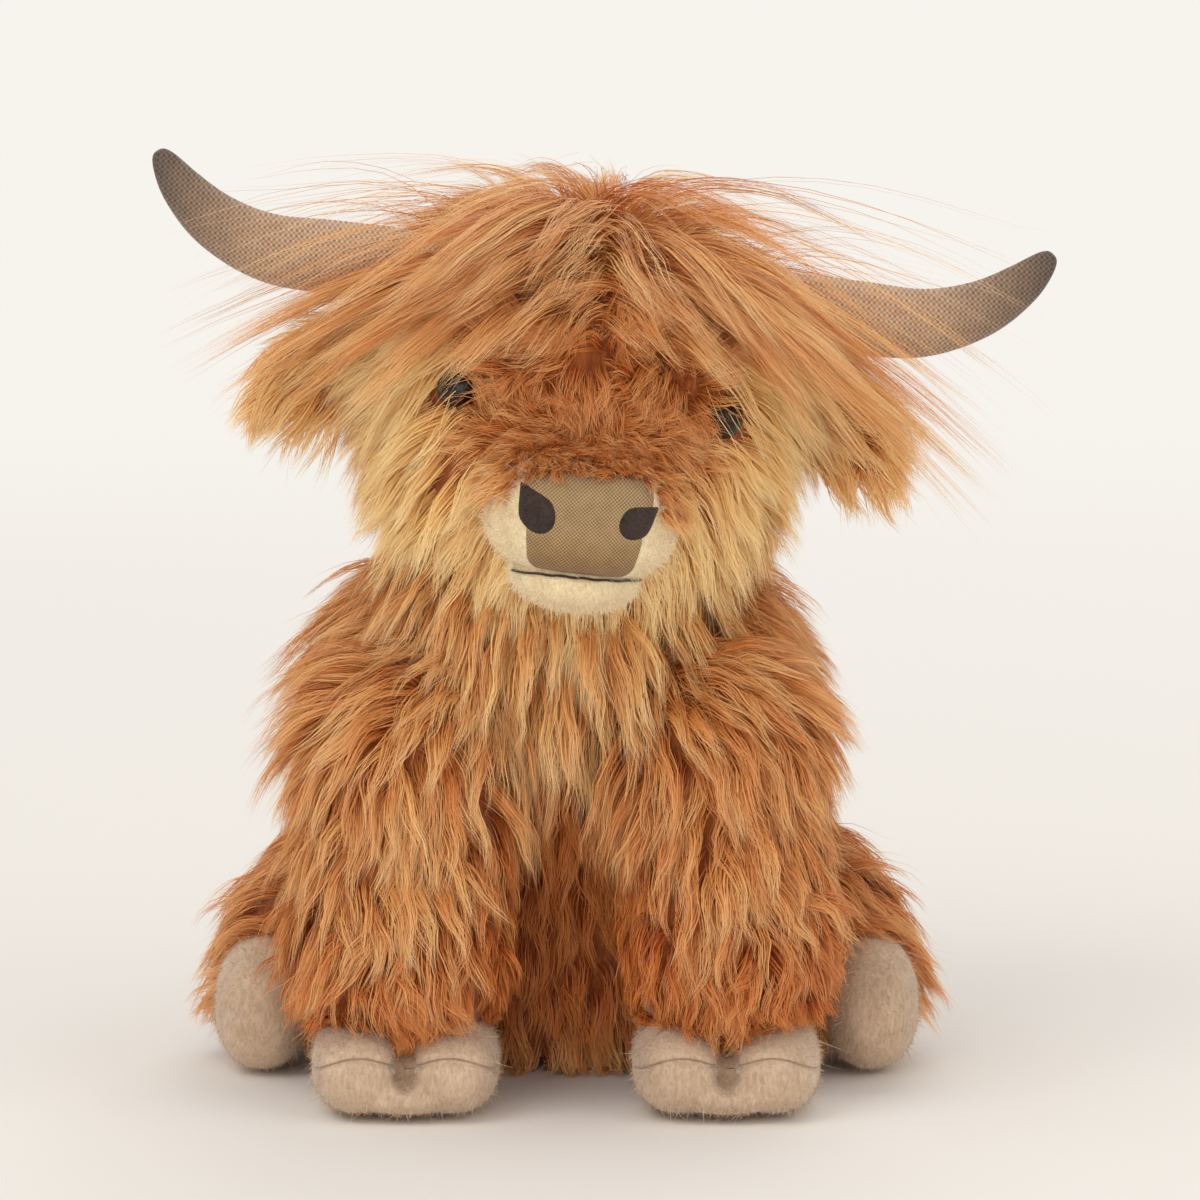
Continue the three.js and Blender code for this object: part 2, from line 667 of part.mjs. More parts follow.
/** An eye, its washer and the room that they need, with the eye's axis pointing out of the face. */
function eyeParts(sign) {
  const outward = vector(sign * Math.sin(eyeOutward), -Math.cos(eyeOutward), 0);
  const surface = meet(headOuter, vector(sign * eye.spread, 2 * muzzle.front, eye.height), yAxis);
  const turn = new THREE.Quaternion().setFromUnitVectors(zAxis, outward);
  const stance = new THREE.Matrix4().compose(surface, turn, vector(1, 1, 1));
  const place = (solid) => solid.transform(stance.elements);

  const washerTop = -eye.sink - eye.clothGrip - 2 * gap;
  const washerLow = washerTop - washer.thickness;
  const shankEnd = washerLow - eye.shankRadius;
  const front = block(vector(-overrun, -overrun, 0), vector(overrun, overrun, overrun));
  const domeGeometry = new THREE.SphereGeometry(eye.radius, buttonSides, buttonSides / 2);
  domeGeometry.rotateX(Math.PI / 2);
  domeGeometry.scale(1, 1, eye.domeHeight / eye.radius);
  const dome = solidOf(domeGeometry).intersect(front).translate([0, 0, -eye.sink]);
  const shank = cylinder(eye.shankRadius, shankEnd, eye.shankRadius - eye.sink, shankSides);
  const shankHole = cylinder(eye.shankRadius + gap, shankEnd - gap, overrun, shankSides);
  const socket = cylinder(eye.radius + gap, -eye.sink - gap, overrun, buttonSides);
  const washerSeat = cylinder(washer.radius + gap, shankEnd - gap, washerTop + gap, buttonSides);
  const washerRoom = cylinder(washer.radius + gap, shankEnd - gap, overrun, buttonSides);
  return {
    eye: place(dome.add(shank)),
    washer: place(cylinder(washer.radius, washerLow, washerTop, buttonSides).subtract(shankHole)),
    socket: place(join(socket, shankHole, washerSeat)),
    hollow: place(washerRoom),
  };
}

/** The form of a horn on one side. */
function hornForm(sign, mesh) {
  const full = { startFullShare: horn.rootFullShare, endFullShare: horn.tipFullShare };
  return limbForm(horn, sign, yAxis, horn.radii, horn.radii, { ...full, ...mesh });
}

/** The filling of a horn on one side, run on through its root towards the head. */
function hornRoom(sign, clearance) {
  const form = hornForm(sign, coreMesh);
  form.points[0].x -= sign * hornBall.radius;
  return swell(form, -knitThickness - clearance);
}

/** An ear with its round root. */
function earSolid(sign) {
  const root = ball(jointCentre(earBall, sign), earBall.radius, zAxis, smallBallSides);
  const form = limbForm(ear, sign, yAxis, ear.halfThicknesses, ear.halfHeights, smallMesh);
  return join(root, swell(form)).subtract(swell(headForm, 2 * gap).subtract(root));
}

const eyes = flanks.map(({ sign }) => eyeParts(sign));

/** The hollows for the neck, the horns and the ears, rough ones for the filling. */
function headSockets(rough) {
  const hornSides = rough ? coreBallSides : hornBallSides;
  const earSides = rough ? coreBallSides : smallBallSides;
  const neckRadius = rough ? neckHollowRadius / Math.cos(Math.PI / buttonSides) ** 2 : neckHollowRadius;
  const neckHollow = ball(vector(0, 0, 0), neckRadius, zAxis, rough ? buttonSides : neckSides);
  const atSides = flanks.flatMap(({ sign }) => [
    hollowBall(jointCentre(hornBall, sign), hornBall.radius, yAxis, hornSides, rough),
    hollowBall(jointCentre(earBall, sign), earBall.radius, zAxis, earSides, rough),
  ]);
  return [belowJaw, neckHollow, ...atSides];
}

const sockets = eyes.map(({ socket }) => socket);
const hollows = eyes.map(({ hollow }) => hollow);
const headSkin = cut(headOuter, headRoom(0), muzzleRoom(0), ...headSockets(false), ...sockets);
const headFilling = cut(join(headRoom(gap), muzzleRoom(gap)), ...headSockets(true), ...hollows);
const stitchRoom = mouthThread(mouth.radius + gap);
const muzzleCover = cut(muzzleOuter, muzzleRoom(0), headClear, stitchRoom);
const chinCover = cut(swell(chinForm), headClear, swell(muzzleForm, gap), stitchRoom, belowJaw);

const forelockHeight = Math.max(...head.heights) - forelock.drop;
const forelockRegion = swell(cushion(
  vector(0, forelock.back - forelock.halfDepth, forelockHeight),
  vector(0, forelock.back + forelock.halfDepth, forelockHeight),
  forelock.halfWidth,
  forelock.halfHeight,
));

/** Half sizes of a part that swings about its root, grown by how far each station travels. */
function sweptSizes(part, sizes, angle) {
  return sizes.map((size, i) => size + (part.outs[i] - part.outs[0]) * Math.sin(angle));
}

/** The room that a horn and an ear swing in, which the fringe keeps clear of. */
function swingRooms(sign) {
  const bending = sweptSizes(horn, horn.radii, hornBend);
  const flapping = sweptSizes(ear, ear.halfThicknesses, earFlap);
  const hornSwing = { ...hornForm(sign, limbMesh), depths: bending };
  const earSwing = limbForm(ear, sign, yAxis, flapping, ear.halfHeights);
  return [
    ball(jointCentre(hornBall, sign), hornBall.radius + swingGap, yAxis, hornBallSides),
    ball(jointCentre(earBall, sign), earBall.radius + swingGap, zAxis, smallBallSides),
    swell(hornSwing, swingGap),
    swell(earSwing, swingGap),
  ];
}

const crownPanel = swell(headForm, forelock.thickness).intersect(forelockRegion);
const fringes = flanks.map(({ sign }) =>
  swell(limbForm(fringe, sign, yAxis, fringe.halfDepths, fringe.halfThicknesses, faceMesh)),
);
const swings = flanks.flatMap(({ sign }) => swingRooms(sign));
const forelockPatch = cut(join(crownPanel, ...fringes), headClear, ...swings);

addPiece(headGroup, 'head_fur_skin', headSkin, furOrange);
addPiece(headGroup, 'head_stuffing', headFilling, fibre);
addPiece(headGroup, 'forelock_patch', forelockPatch, furGolden);
addPiece(headGroup, 'muzzle_cover', muzzleCover, creamPlush);
addPiece(headGroup, 'chin_cover', chinCover, creamPlush);
addPiece(headGroup, 'nose_patch', muzzleLayer(noseOutline(), gap, noseThickness), tanKnit);
addPiece(headGroup, 'mouth_stitch', mouthThread(mouth.radius), darkThread);

flanks.forEach(({ name, sign }, i) => {
  const nostrilPatch = muzzleLayer(nostrilOutline(sign), gap + noseThickness + gap, nostril.thickness);
  const hornRoot = ball(jointCentre(hornBall, sign), hornBall.radius, yAxis, hornBallSides);
  const hornOuter = hornRoot.add(swell(hornForm(sign, limbMesh)));
  addPiece(headGroup, `nostril_${name}`, nostrilPatch, darkThread);
  addPiece(headGroup, `eye_${name}`, eyes[i].eye, darkPlastic);
  addPiece(headGroup, `eye_washer_${name}`, eyes[i].washer, whitePlastic);
  addPiece(headGroup, `horn_cover_${name}`, hornOuter.subtract(hornRoom(sign, 0)), hornKnit);
  addPiece(headGroup, `horn_stuffing_${name}`, hornRoom(sign, gap).intersect(hornOuter), fibre);
  addPiece(headGroup, `ear_${name}`, earSolid(sign), furGolden);
});

// The origin is the centre of the footprint, on the floor
cow.updateMatrixWorld(true);
const bounds = new THREE.Box3().setFromObject(cow, true);
const centre = bounds.getCenter(vector(0, 0, 0));
cow.position.set(-centre.x, -centre.y, 0);
cow.updateMatrixWorld(true);

export default cow;
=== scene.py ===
"""A sitting plush highland cow with long fur, knitted horns and soft cloven hooves.

The toy frame is in millimetres, +Z up, with the toy facing -Y and its own left side at +X.
Every soft form swells and tapers along a path, and the long fur is made of locks: strands that
start side by side on the cloth, follow one guide and cling together towards their tips.
"""

from __future__ import annotations

import logging
import math
from abc import ABC, abstractmethod
from collections.abc import Callable, Sequence
from dataclasses import dataclass, field, replace
from enum import Enum

import bpy
import numpy as np
from mathutils import Matrix, Vector
from mathutils.bvhtree import BVHTree


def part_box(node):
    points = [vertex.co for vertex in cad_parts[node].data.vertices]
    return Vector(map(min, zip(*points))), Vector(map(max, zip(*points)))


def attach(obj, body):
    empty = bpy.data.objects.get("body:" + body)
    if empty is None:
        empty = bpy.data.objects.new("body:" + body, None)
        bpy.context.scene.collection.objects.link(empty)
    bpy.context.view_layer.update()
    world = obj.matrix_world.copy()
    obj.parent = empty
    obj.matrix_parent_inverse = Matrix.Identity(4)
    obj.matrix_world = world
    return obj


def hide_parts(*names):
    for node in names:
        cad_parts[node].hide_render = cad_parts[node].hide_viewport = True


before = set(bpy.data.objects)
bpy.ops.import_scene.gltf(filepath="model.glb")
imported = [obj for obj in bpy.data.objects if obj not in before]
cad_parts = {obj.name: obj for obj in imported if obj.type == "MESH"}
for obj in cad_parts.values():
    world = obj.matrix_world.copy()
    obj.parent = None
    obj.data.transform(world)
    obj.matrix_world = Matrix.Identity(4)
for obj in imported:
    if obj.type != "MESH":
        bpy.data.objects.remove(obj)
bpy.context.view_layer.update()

log = logging.getLogger("plush_cow")
Array = np.ndarray
Colour = tuple[float, float, float]
Numbers = Sequence[float] | Array | float
Random = np.random.Generator
Material = bpy.types.Material
Mesh = bpy.types.Mesh
Node = bpy.types.Node
NodeTree = bpy.types.NodeTree
Piece = bpy.types.Object
Socket = bpy.types.NodeSocket

MM = 0.001
NECK = np.array([-2.5, -10.0, 158.0])
HEAD_TILT = math.radians(7)
HEAD_TURN = math.radians(3)
_, BACKWARDS, UPWARDS = np.eye(3)
IN_FRONT = -150.0

# The map that the knit and the fur read, the most triangles of a piece of fur, and how far from the
# middle its strands may reach, sideways and lengthways
MAP_NAME = "OFBake"
MOST_TRIANGLES = 190_000
FUR_REACH = np.array([145.0, 116.0])


class Side(Enum):
    """The toy's own left and right side, with the sign of its X."""

    LEFT = 1
    RIGHT = -1

    @property
    def label(self) -> str:
        """The side's name in lower case."""
        return self.name.lower()


class Pile(Enum):
    """The number of points along a strand."""

    FLOWING = 10
    LONG = 6
    CURLY = 5
    NAP = 2


# Arrays, curves and meshes


def unit(vectors: Array) -> Array:
    """Vectors scaled to a length of one."""
    return vectors / np.maximum(np.linalg.norm(vectors, axis=-1, keepdims=True), 1e-9)


def ramp(low: float, high: float, values: Array) -> Array:
    """A smooth rise from 0 at low to 1 at high, or a fall where low is above high."""
    t = np.clip((values - low) / (high - low), 0, 1)
    return t * t * (3 - 2 * t)


def turns(count: int) -> Array:
    """Equal angles round a full turn."""
    return 2 * np.pi * np.arange(count) / count


def path_through(outs: Numbers, backs: Numbers, heights: Numbers) -> Array:
    """The points of a form's path, where a single number holds for all of them."""
    return np.stack(np.broadcast_arrays(outs, backs, heights), 1).astype(float)


def smoothed(line: Array, times: int) -> Array:
    """A line whose points are drawn towards their neighbours again and again.

    Args:
        line: The line, which changes.
        times: How many times they are drawn.

    Returns:
        The line.
    """
    for _ in range(times):
        line[1:-1] = (line[:-2] + 2 * line[1:-1] + line[2:]) / 4
    return line


def through(values: Array, shares: Array, run_on: bool) -> Array:
    """Reads a smooth curve through equally spaced stations.

    Args:
        values: One row or number for each station.
        shares: Places from 0, the first station, to 1, the last.
        run_on: Whether the curve runs on straight past its ends, as a path does.

    Returns:
        One row or number for each share.
    """
    first = 2 * values[0] - values[1] if run_on else values[0]
    last = 2 * values[-1] - values[-2] if run_on else values[-1]
    stations = np.concatenate([[first], values, [last]])
    place = np.clip(shares, 0, 1) * (len(values) - 1)
    index = np.minimum(place.astype(int), len(values) - 2)
    t = (place - index).reshape(-1, *[1] * (values.ndim - 1))
    before, start, end, after = (stations[index + step] for step in range(4))
    leave, arrive = (end - before) / 2, (after - start) / 2
    return (
        (2 * t**3 - 3 * t**2 + 1) * start
        + (t**3 - 2 * t**2 + t) * leave
        + (3 * t**2 - 2 * t**3) * end
        + (t**3 - t**2) * arrive
    )


def swirls(points: Array, reach: float) -> Array:
    """Smooth directions that wander from place to place, as brushed fur does.

    Args:
        points: The places.
        reach: How far apart places are that still lean alike, in millimetres.

    Returns:
        A direction of about unit length at each place.
    """
    x, y, z = (points / reach).T
    first = np.sin(2.1 * y + 1.3 * z) + np.cos(1.7 * z - 0.9 * x + 0.6)
    second = np.sin(1.9 * z + 1.1 * x + 2.0) + np.cos(1.3 * x - 1.6 * y)
    third = np.sin(1.5 * x + 2.3 * y + 4.0) + np.cos(1.2 * y + 1.8 * z + 1.0)
    return np.stack([first, second, third], 1) / 2


@dataclass
class Surface:
    """Points in millimetres with arrays of triangles or quads between them."""

    points: Array
    faces: list[Array]
    uv: Array | None = None

    def moved(self, turn: Array, shift: Array) -> Surface:
        """The surface turned about the origin and then shifted."""
        return replace(self, points=self.points @ turn.T + shift)

    def flipped(self) -> Surface:
        """The surface with its faces turned to its other side."""
        return replace(self, faces=[corners[:, ::-1] for corners in self.faces])

    def keep_above(self, height: float) -> None:
        """Lifts the points that lie below a height."""
        self.points[:, 2] = np.maximum(self.points[:, 2], height)

    def tree(self) -> BVHTree:
        """The surface's triangles, ready for finding places on it."""
        return BVHTree.FromPolygons(self.points.tolist(), self.triangles().tolist())

    def triangles(self) -> Array:
        """All faces as triangles."""
        parts = [f if f.shape[1] == 3 else np.concatenate([f[:, :3], f[:, [0, 2, 3]]]) for f in self.faces]
        return np.concatenate(parts)

    def normals(self) -> Array:
        """The outward direction at each point.

        Returns:
            A direction for each point.
        """
        corners = self.triangles()
        a, b, c = (self.points[corners[:, i]] for i in range(3))
        across = np.cross(b - a, c - a)
        total = np.zeros_like(self.points)
        for i in range(3):
            np.add.at(total, corners[:, i], across)
        return unit(total)


def joined(*surfaces: Surface) -> Surface:
    """Several surfaces as one.

    Args:
        surfaces: The surfaces.

    Returns:
        The whole, with a map where all of them have one.
    """
    points, faces, start = [], [], 0
    for surface in surfaces:
        points.append(surface.points)
        faces.extend(f + start for f in surface.faces)
        start += len(surface.points)
    maps = [s.uv for s in surfaces if s.uv is not None]
    uv = np.concatenate(maps) if len(maps) == len(surfaces) else None
    return Surface(np.concatenate(points), faces, uv)


@dataclass
class Swell:
    """A stuffed form that swells and tapers along a path and closes at both ends.

    widths and depths are half sizes at the path's points, the widths along across. start_full
    and end_full say how full the ends are, and square how full the section is.
    """

    points: Sequence[Sequence[float]]
    widths: Sequence[float]
    depths: Sequence[float]
    across: Sequence[float] = (1.0, 0.0, 0.0)
    start_full: float = 2.0
    end_full: float = 2.0
    square: float = 2.0
    sides: int = 40
    rings: int = 30

    def surface(self, grow: float = 0.0, lengthen: float | None = None) -> Surface:
        """The closed surface, moved outwards.

        Args:
            grow: How far its sides move out in millimetres.
            lengthen: How far its two ends move, where that isn't as far as the sides.

        Returns:
            The surface.
        """
        path = np.array(self.points, float)
        further = grow if lengthen is None else lengthen
        path[0] -= unit(path[1] - path[0]) * further
        path[-1] += unit(path[-1] - path[-2]) * further
        t = (1 - np.cos(np.pi * np.arange(1, self.rings) / self.rings)) / 2
        full = np.where(t < 0.5, self.start_full, self.end_full)
        fullness = (1 - np.abs(2 * t - 1) ** full) ** (1 / full)
        centres = through(path, t, True)
        near = 0.002
        along = unit(through(path, t + near, True) - through(path, t - near, True))
        across = np.array(self.across, float)
        side = unit(across - along * (along @ across)[:, None])
        up = np.cross(along, side)
        width = (through(np.array(self.widths, float), t, False) + grow) * fullness
        depth = (through(np.array(self.depths, float), t, False) + grow) * fullness
        angle = turns(self.sides)
        c, s = np.cos(angle), np.sin(angle)
        c, s = (np.sign(x) * np.abs(x) ** (2 / self.square) for x in (c, s))
        grid = (
            centres[:, None]
            + side[:, None] * (width[:, None] * c)[..., None]
            + up[:, None] * (depth[:, None] * s)[..., None]
        )
        points = np.concatenate([path[:1], grid.reshape(-1, 3), path[-1:]])
        return Surface(points, closed_faces(self.sides, self.rings - 1))


def disc_faces(sides: int, ring_count: int) -> list[Array]:
    """Faces for rings of points round a first point.

    Args:
        sides: The number of points in a ring.
        ring_count: The number of rings.

    Returns:
        The quads between the rings and the triangles at the first point.
    """
    step = np.arange(sides)
    after = (step + 1) % sides
    ring = (1 + np.arange(ring_count - 1) * sides)[:, None]
    quads = np.stack([ring + step, ring + after, ring + sides + after, ring + sides + step], -1)
    return [quads.reshape(-1, 4), np.stack([np.zeros(sides, int), 1 + after, 1 + step], 1)]


def closed_faces(sides: int, ring_count: int) -> list[Array]:
    """Faces for rings of points between a first and a last point.

    Args:
        sides: The number of points in a ring.
        ring_count: The number of rings.

    Returns:
        The quads between the rings and the triangles at both ends.
    """
    quads, first = disc_faces(sides, ring_count)
    step = np.arange(sides)
    base = 1 + (ring_count - 1) * sides
    last = np.stack([np.full(sides, base + sides), base + step, base + (step + 1) % sides], 1)
    return [quads, np.concatenate([first, last])]


def globe(centre: Sequence[float], radius: float) -> Surface:
    """A round ball."""
    path = path_through(*centre[:2], centre[2] + radius * np.array([-1, 0, 1]))
    return Swell(path, [radius] * 3, [radius] * 3, sides=32, rings=16).surface()


def blender_mesh(name: str, surface: Surface, smooth: bool = True) -> Mesh:
    """A surface of the toy frame as a mesh in metres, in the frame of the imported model.

    Args:
        name: The mesh's name.
        surface: The surface.
        smooth: Whether its faces are shaded smooth.

    Returns:
        The mesh.
    """
    mesh = bpy.data.meshes.new(name)
    counts = np.concatenate([np.full(len(f), f.shape[1]) for f in surface.faces])
    corners = np.concatenate([f.ravel() for f in surface.faces])
    mesh.vertices.add(len(surface.points))
    places = (surface.points + SHIFT) * MM
    mesh.vertices.foreach_set("co", places.astype(np.float32).ravel())
    mesh.loops.add(len(corners))
    mesh.loops.foreach_set("vertex_index", corners.astype(np.int32))
    mesh.polygons.add(len(counts))
    starts = np.concatenate([[0], np.cumsum(counts)[:-1]])
    mesh.polygons.foreach_set("loop_start", starts.astype(np.int32))
    mesh.polygons.foreach_set("use_smooth", np.full(len(counts), smooth))
    if surface.uv is not None:
        layer = mesh.uv_layers.new(name=MAP_NAME)
        layer.uv.foreach_set("vector", surface.uv[corners].astype(np.float32).ravel())
    mesh.update(calc_edges=True)
    return mesh


def surface_of(mesh: Mesh) -> Surface:
    """A mesh as a surface of the toy frame.

    Args:
        mesh: The mesh, in metres.

    Returns:
        The surface, in millimetres.
    """
    places = np.empty(len(mesh.vertices) * 3, np.float32)
    mesh.vertices.foreach_get("co", places)
    counts = np.empty(len(mesh.polygons), np.int32)
    mesh.polygons.foreach_get("loop_total", counts)
    starts = np.empty(len(mesh.polygons), np.int32)
    mesh.polygons.foreach_get("loop_start", starts)
    corners = np.empty(len(mesh.loops), np.int32)
    mesh.loops.foreach_get("vertex_index", corners)
    faces = [
        corners[starts[counts == size][:, None] + np.arange(size)]
        for size in (3, 4)
        if (counts == size).any()
    ]
    return Surface(places.reshape(-1, 3).astype(float) / MM - SHIFT, faces)


def fused(surface: Surface, voxel: float, smoothing: int) -> Surface:
    """Overlapping closed surfaces as one skin with soft joins.

    Args:
        surface: The overlapping surfaces.
        voxel: The size of the skin's faces in millimetres.
        smoothing: How many times the skin is smoothed.

    Returns:
        The skin.
    """
    mesh = blender_mesh("fusing", surface)
    piece = bpy.data.objects.new("fusing", mesh)
    bpy.context.scene.collection.objects.link(piece)
    remesh = piece.modifiers.new("skin", "REMESH")
    remesh.mode = "VOXEL"
    remesh.voxel_size = voxel * MM
    smooth = piece.modifiers.new("soften", "SMOOTH")
    smooth.factor = 0.5
    smooth.iterations = smoothing
    bpy.context.view_layer.update()
    graph = bpy.context.evaluated_depsgraph_get()
    made = bpy.data.meshes.new_from_object(piece.evaluated_get(graph), depsgraph=graph)
    skin = surface_of(made)
    bpy.data.objects.remove(piece)
    for used in (mesh, made):
        bpy.data.meshes.remove(used)
    return skin


def toy_shift() -> Array:
    """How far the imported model's origin lies from the toy frame's, read at the round neck seam."""
    low, high = (np.array(corner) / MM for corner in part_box("neck_seam_thread"))
    return np.array([*((low + high) / 2 - NECK)[:2], 0.0])


def head_turned() -> Array:
    """The head's turn and tilt as a matrix."""
    return np.array(Matrix.Rotation(HEAD_TILT, 3, "Y") @ Matrix.Rotation(HEAD_TURN, 3, "Z"))


SHIFT = toy_shift()
HEAD = head_turned()


# Shader nodes


class Nodes:
    """A node tree with short calls that add nodes and join them."""

    def __init__(self, tree: NodeTree) -> None:
        """Wraps a node tree."""
        self.tree = tree

    def add(self, kind: str, **settings: object) -> Node:
        """Adds a node.

        Args:
            kind: The kind of node.
            settings: Values for its inputs, as in_NAME, and its settings.

        Returns:
            The node.
        """
        node = self.tree.nodes.new(kind)
        for name, value in settings.items():
            if name.startswith("in_"):
                key = name[3:]
                node.inputs[int(key) if key.isdigit() else key.replace("_", " ")].default_value = value
            else:
                setattr(node, name, value)
        return node

    def join(self, output: Socket, target: Socket) -> None:
        """Joins an output to an input."""
        self.tree.links.new(output, target)

    def math(self, operation: str, *values: object) -> Socket:
        """Adds a Math node.

        Args:
            operation: What it works out.
            values: The outputs and numbers that go in.

        Returns:
            Its output.
        """
        node = self.add("ShaderNodeMath", operation=operation)
        for i, value in enumerate(values):
            if isinstance(value, Socket):
                self.join(value, node.inputs[i])
            else:
                node.inputs[i].default_value = value
        return node.outputs[0]

    def mixed(self, factor: object, first: object, second: object) -> Socket:
        """Mixes two colours, each an output or a plain colour.

        Args:
            factor: The share of the second colour.
            first: The first colour.
            second: The second colour.

        Returns:
            The colour.
        """
        node = self.add("ShaderNodeMix", data_type="RGBA")
        for key, value in ((0, factor), (6, first), (7, second)):
            if isinstance(value, Socket):
                self.join(value, node.inputs[key])
            else:
                node.inputs[key].default_value = (*value, 1) if isinstance(value, tuple) else value
        return node.outputs[2]

    def stops(self, share: Socket, stops: Sequence[tuple[float, Colour]]) -> Socket:
        """Reads a colour ramp.

        Args:
            share: The place along the ramp.
            stops: The place and colour of each stop.

        Returns:
            The colour.
        """
        node = self.add("ShaderNodeValToRGB")
        elements = node.color_ramp.elements
        while len(elements) < len(stops):
            elements.new(0.5)
        for element, (place, colour) in zip(elements, stops, strict=True):
            element.position = place
            element.color = (*colour, 1)
        self.join(share, node.inputs[0])
        return node.outputs[0]

    def place(self) -> Socket:
        """The place on the piece."""
        return self.add("ShaderNodeTexCoord").outputs["Object"]

    def mapped(self) -> tuple[Socket, Socket]:
        """The two numbers of the piece's own map.

        Returns:
            Its numbers across and along.
        """
        split = self.add("ShaderNodeSeparateXYZ")
        self.join(self.add("ShaderNodeUVMap", uv_map=MAP_NAME).outputs[0], split.inputs[0])
        return split.outputs[0], split.outputs[1]

    def noise(self, place: Socket, **settings: float) -> Node:
        """A noise texture read at a place.

        Args:
            place: The place.
            settings: Values for its inputs, as in_NAME.

        Returns:
            The node.
        """
        node = self.add("ShaderNodeTexNoise", **settings)
        self.join(place, node.inputs["Vector"])
        return node

    def effect(self, group: NodeTree, **values: float) -> Node:
        """A shared effect with its own values.

        Args:
            group: The effect.
            values: A value for each input by name.

        Returns:
            The node.
        """
        node = self.add("ShaderNodeGroup", node_tree=group)
        for key, value in values.items():
            node.inputs[key].default_value = value
        return node

    def relief(self, shader: Node, height: Socket, strength: float, depth: float) -> None:
        """Joins a relief to a shader's normal.

        Args:
            shader: The shader.
            height: The relief's height.
            strength: How strong it is.
            depth: Its depth in metres.
        """
        node = self.add("ShaderNodeBump", in_Strength=strength, in_Distance=depth)
        self.join(height, node.inputs["Height"])
        self.join(node.outputs[0], shader.inputs["Normal"])

    def shared(self, share: Socket, *shaders: Node) -> Socket:
        """A shader between two others.

        Args:
            share: The share of the second shader.
            shaders: The two shaders.

        Returns:
            The whole.
        """
        node = self.add("ShaderNodeMixShader")
        self.join(share, node.inputs[0])
        for target, shader in zip(node.inputs[1:], shaders, strict=True):
            self.join(shader.outputs[0], target)
        return node.outputs[0]


def effect_group(name: str, inputs: dict[str, float], outputs: Sequence[str]) -> tuple[Nodes, dict, dict]:
    """A new shader node group with named numbers going in and values coming out.

    Args:
        name: The group's name.
        inputs: Each input's name and its value where a material gives none.
        outputs: The names of the outputs.

    Returns:
        The group's nodes, its inputs as outputs to read, and its outputs as inputs to fill.
    """
    tree = bpy.data.node_groups.new(name, "ShaderNodeTree")
    for key, value in inputs.items():
        tree.interface.new_socket(key, in_out="INPUT", socket_type="NodeSocketFloat").default_value = value
    for key in outputs:
        tree.interface.new_socket(key, in_out="OUTPUT", socket_type="NodeSocketFloat")
    nodes = Nodes(tree)
    given = nodes.add("NodeGroupInput")
    wanted = nodes.add("NodeGroupOutput")
    return nodes, {k: given.outputs[k] for k in inputs}, {k: wanted.inputs[k] for k in outputs}


def nap_effect() -> NodeTree:
    """Short pile: fine streaks along one direction over soft, cloudy patches.

    Returns:
        The group.
    """
    nodes, given, wanted = effect_group(
        "short_nap", {"Fineness": 900.0, "Stretch": 0.25, "Patches": 60.0}, ["Shade", "Height"]
    )
    place = nodes.place()
    split = nodes.add("ShaderNodeSeparateXYZ")
    nodes.join(place, split.inputs[0])
    squeezed = nodes.add("ShaderNodeCombineXYZ")
    nodes.join(split.outputs[0], squeezed.inputs[0])
    nodes.join(split.outputs[1], squeezed.inputs[1])
    nodes.join(nodes.math("MULTIPLY", split.outputs[2], given["Stretch"]), squeezed.inputs[2])
    fine = nodes.noise(squeezed.outputs[0], in_Detail=3.0, in_Roughness=0.65)
    nodes.join(given["Fineness"], fine.inputs["Scale"])
    broad = nodes.noise(place, in_Detail=2.0)
    nodes.join(given["Patches"], broad.inputs["Scale"])
    patchy = nodes.math("MULTIPLY", broad.outputs["Fac"], 0.4)
    both = nodes.math("MULTIPLY_ADD", fine.outputs["Fac"], 0.6, patchy)
    spread = nodes.add("ShaderNodeMapRange", in_1=0.36, in_2=0.64)
    nodes.join(both, spread.inputs[0])
    nodes.join(spread.outputs[0], wanted["Shade"])
    nodes.join(fine.outputs["Fac"], wanted["Height"])
    return nodes.tree


def knit_effect() -> NodeTree:
    """Machine knit: rows of stitches, from plain ribs to separate dots, counted along the piece's map.

    Returns:
        The group.
    """
    nodes, given, wanted = effect_group(
        "machine_knit", {"Rows": 90.0, "Columns": 60.0, "Dots": 0.35}, ["Shade", "Height"]
    )
    across, along = nodes.mapped()
    across = nodes.math("MULTIPLY", across, given["Columns"])
    along = nodes.math("MULTIPLY", along, given["Rows"])
    row = nodes.math("SINE", nodes.math("MULTIPLY", along, 2 * math.pi))
    column = nodes.math("SINE", nodes.math("MULTIPLY", across, 2 * math.pi))
    dotted = nodes.math("MULTIPLY_ADD", column, given["Dots"], nodes.math("SUBTRACT", 1.0, given["Dots"]))
    level = nodes.math("MULTIPLY_ADD", nodes.math("MULTIPLY", row, dotted), 0.5, 0.5)
    nodes.join(level, wanted["Height"])
    # The shade is mostly the stitches' height, painted shade in the hollows and painted light on the tops,
    # with a little noise drift
    drift = nodes.noise(nodes.place(), in_Scale=260.0, in_Detail=3.0)
    painted_relief_shade = nodes.math("MULTIPLY", level, 0.7)
    nodes.join(nodes.math("MULTIPLY_ADD", drift.outputs["Fac"], 0.3, painted_relief_shade), wanted["Shade"])
    return nodes.tree


def cloud_effect() -> NodeTree:
    """The faint cloudiness of moulded plastic.

    Returns:
        The group.
    """
    nodes, given, wanted = effect_group("faint_cloud", {"Scale": 240.0}, ["Shade"])
    cloud = nodes.noise(nodes.place(), in_Detail=2.0)
    nodes.join(given["Scale"], cloud.inputs["Scale"])
    nodes.join(cloud.outputs["Fac"], wanted["Shade"])
    return nodes.tree


NAP = nap_effect()
KNIT = knit_effect()
CLOUD = cloud_effect()


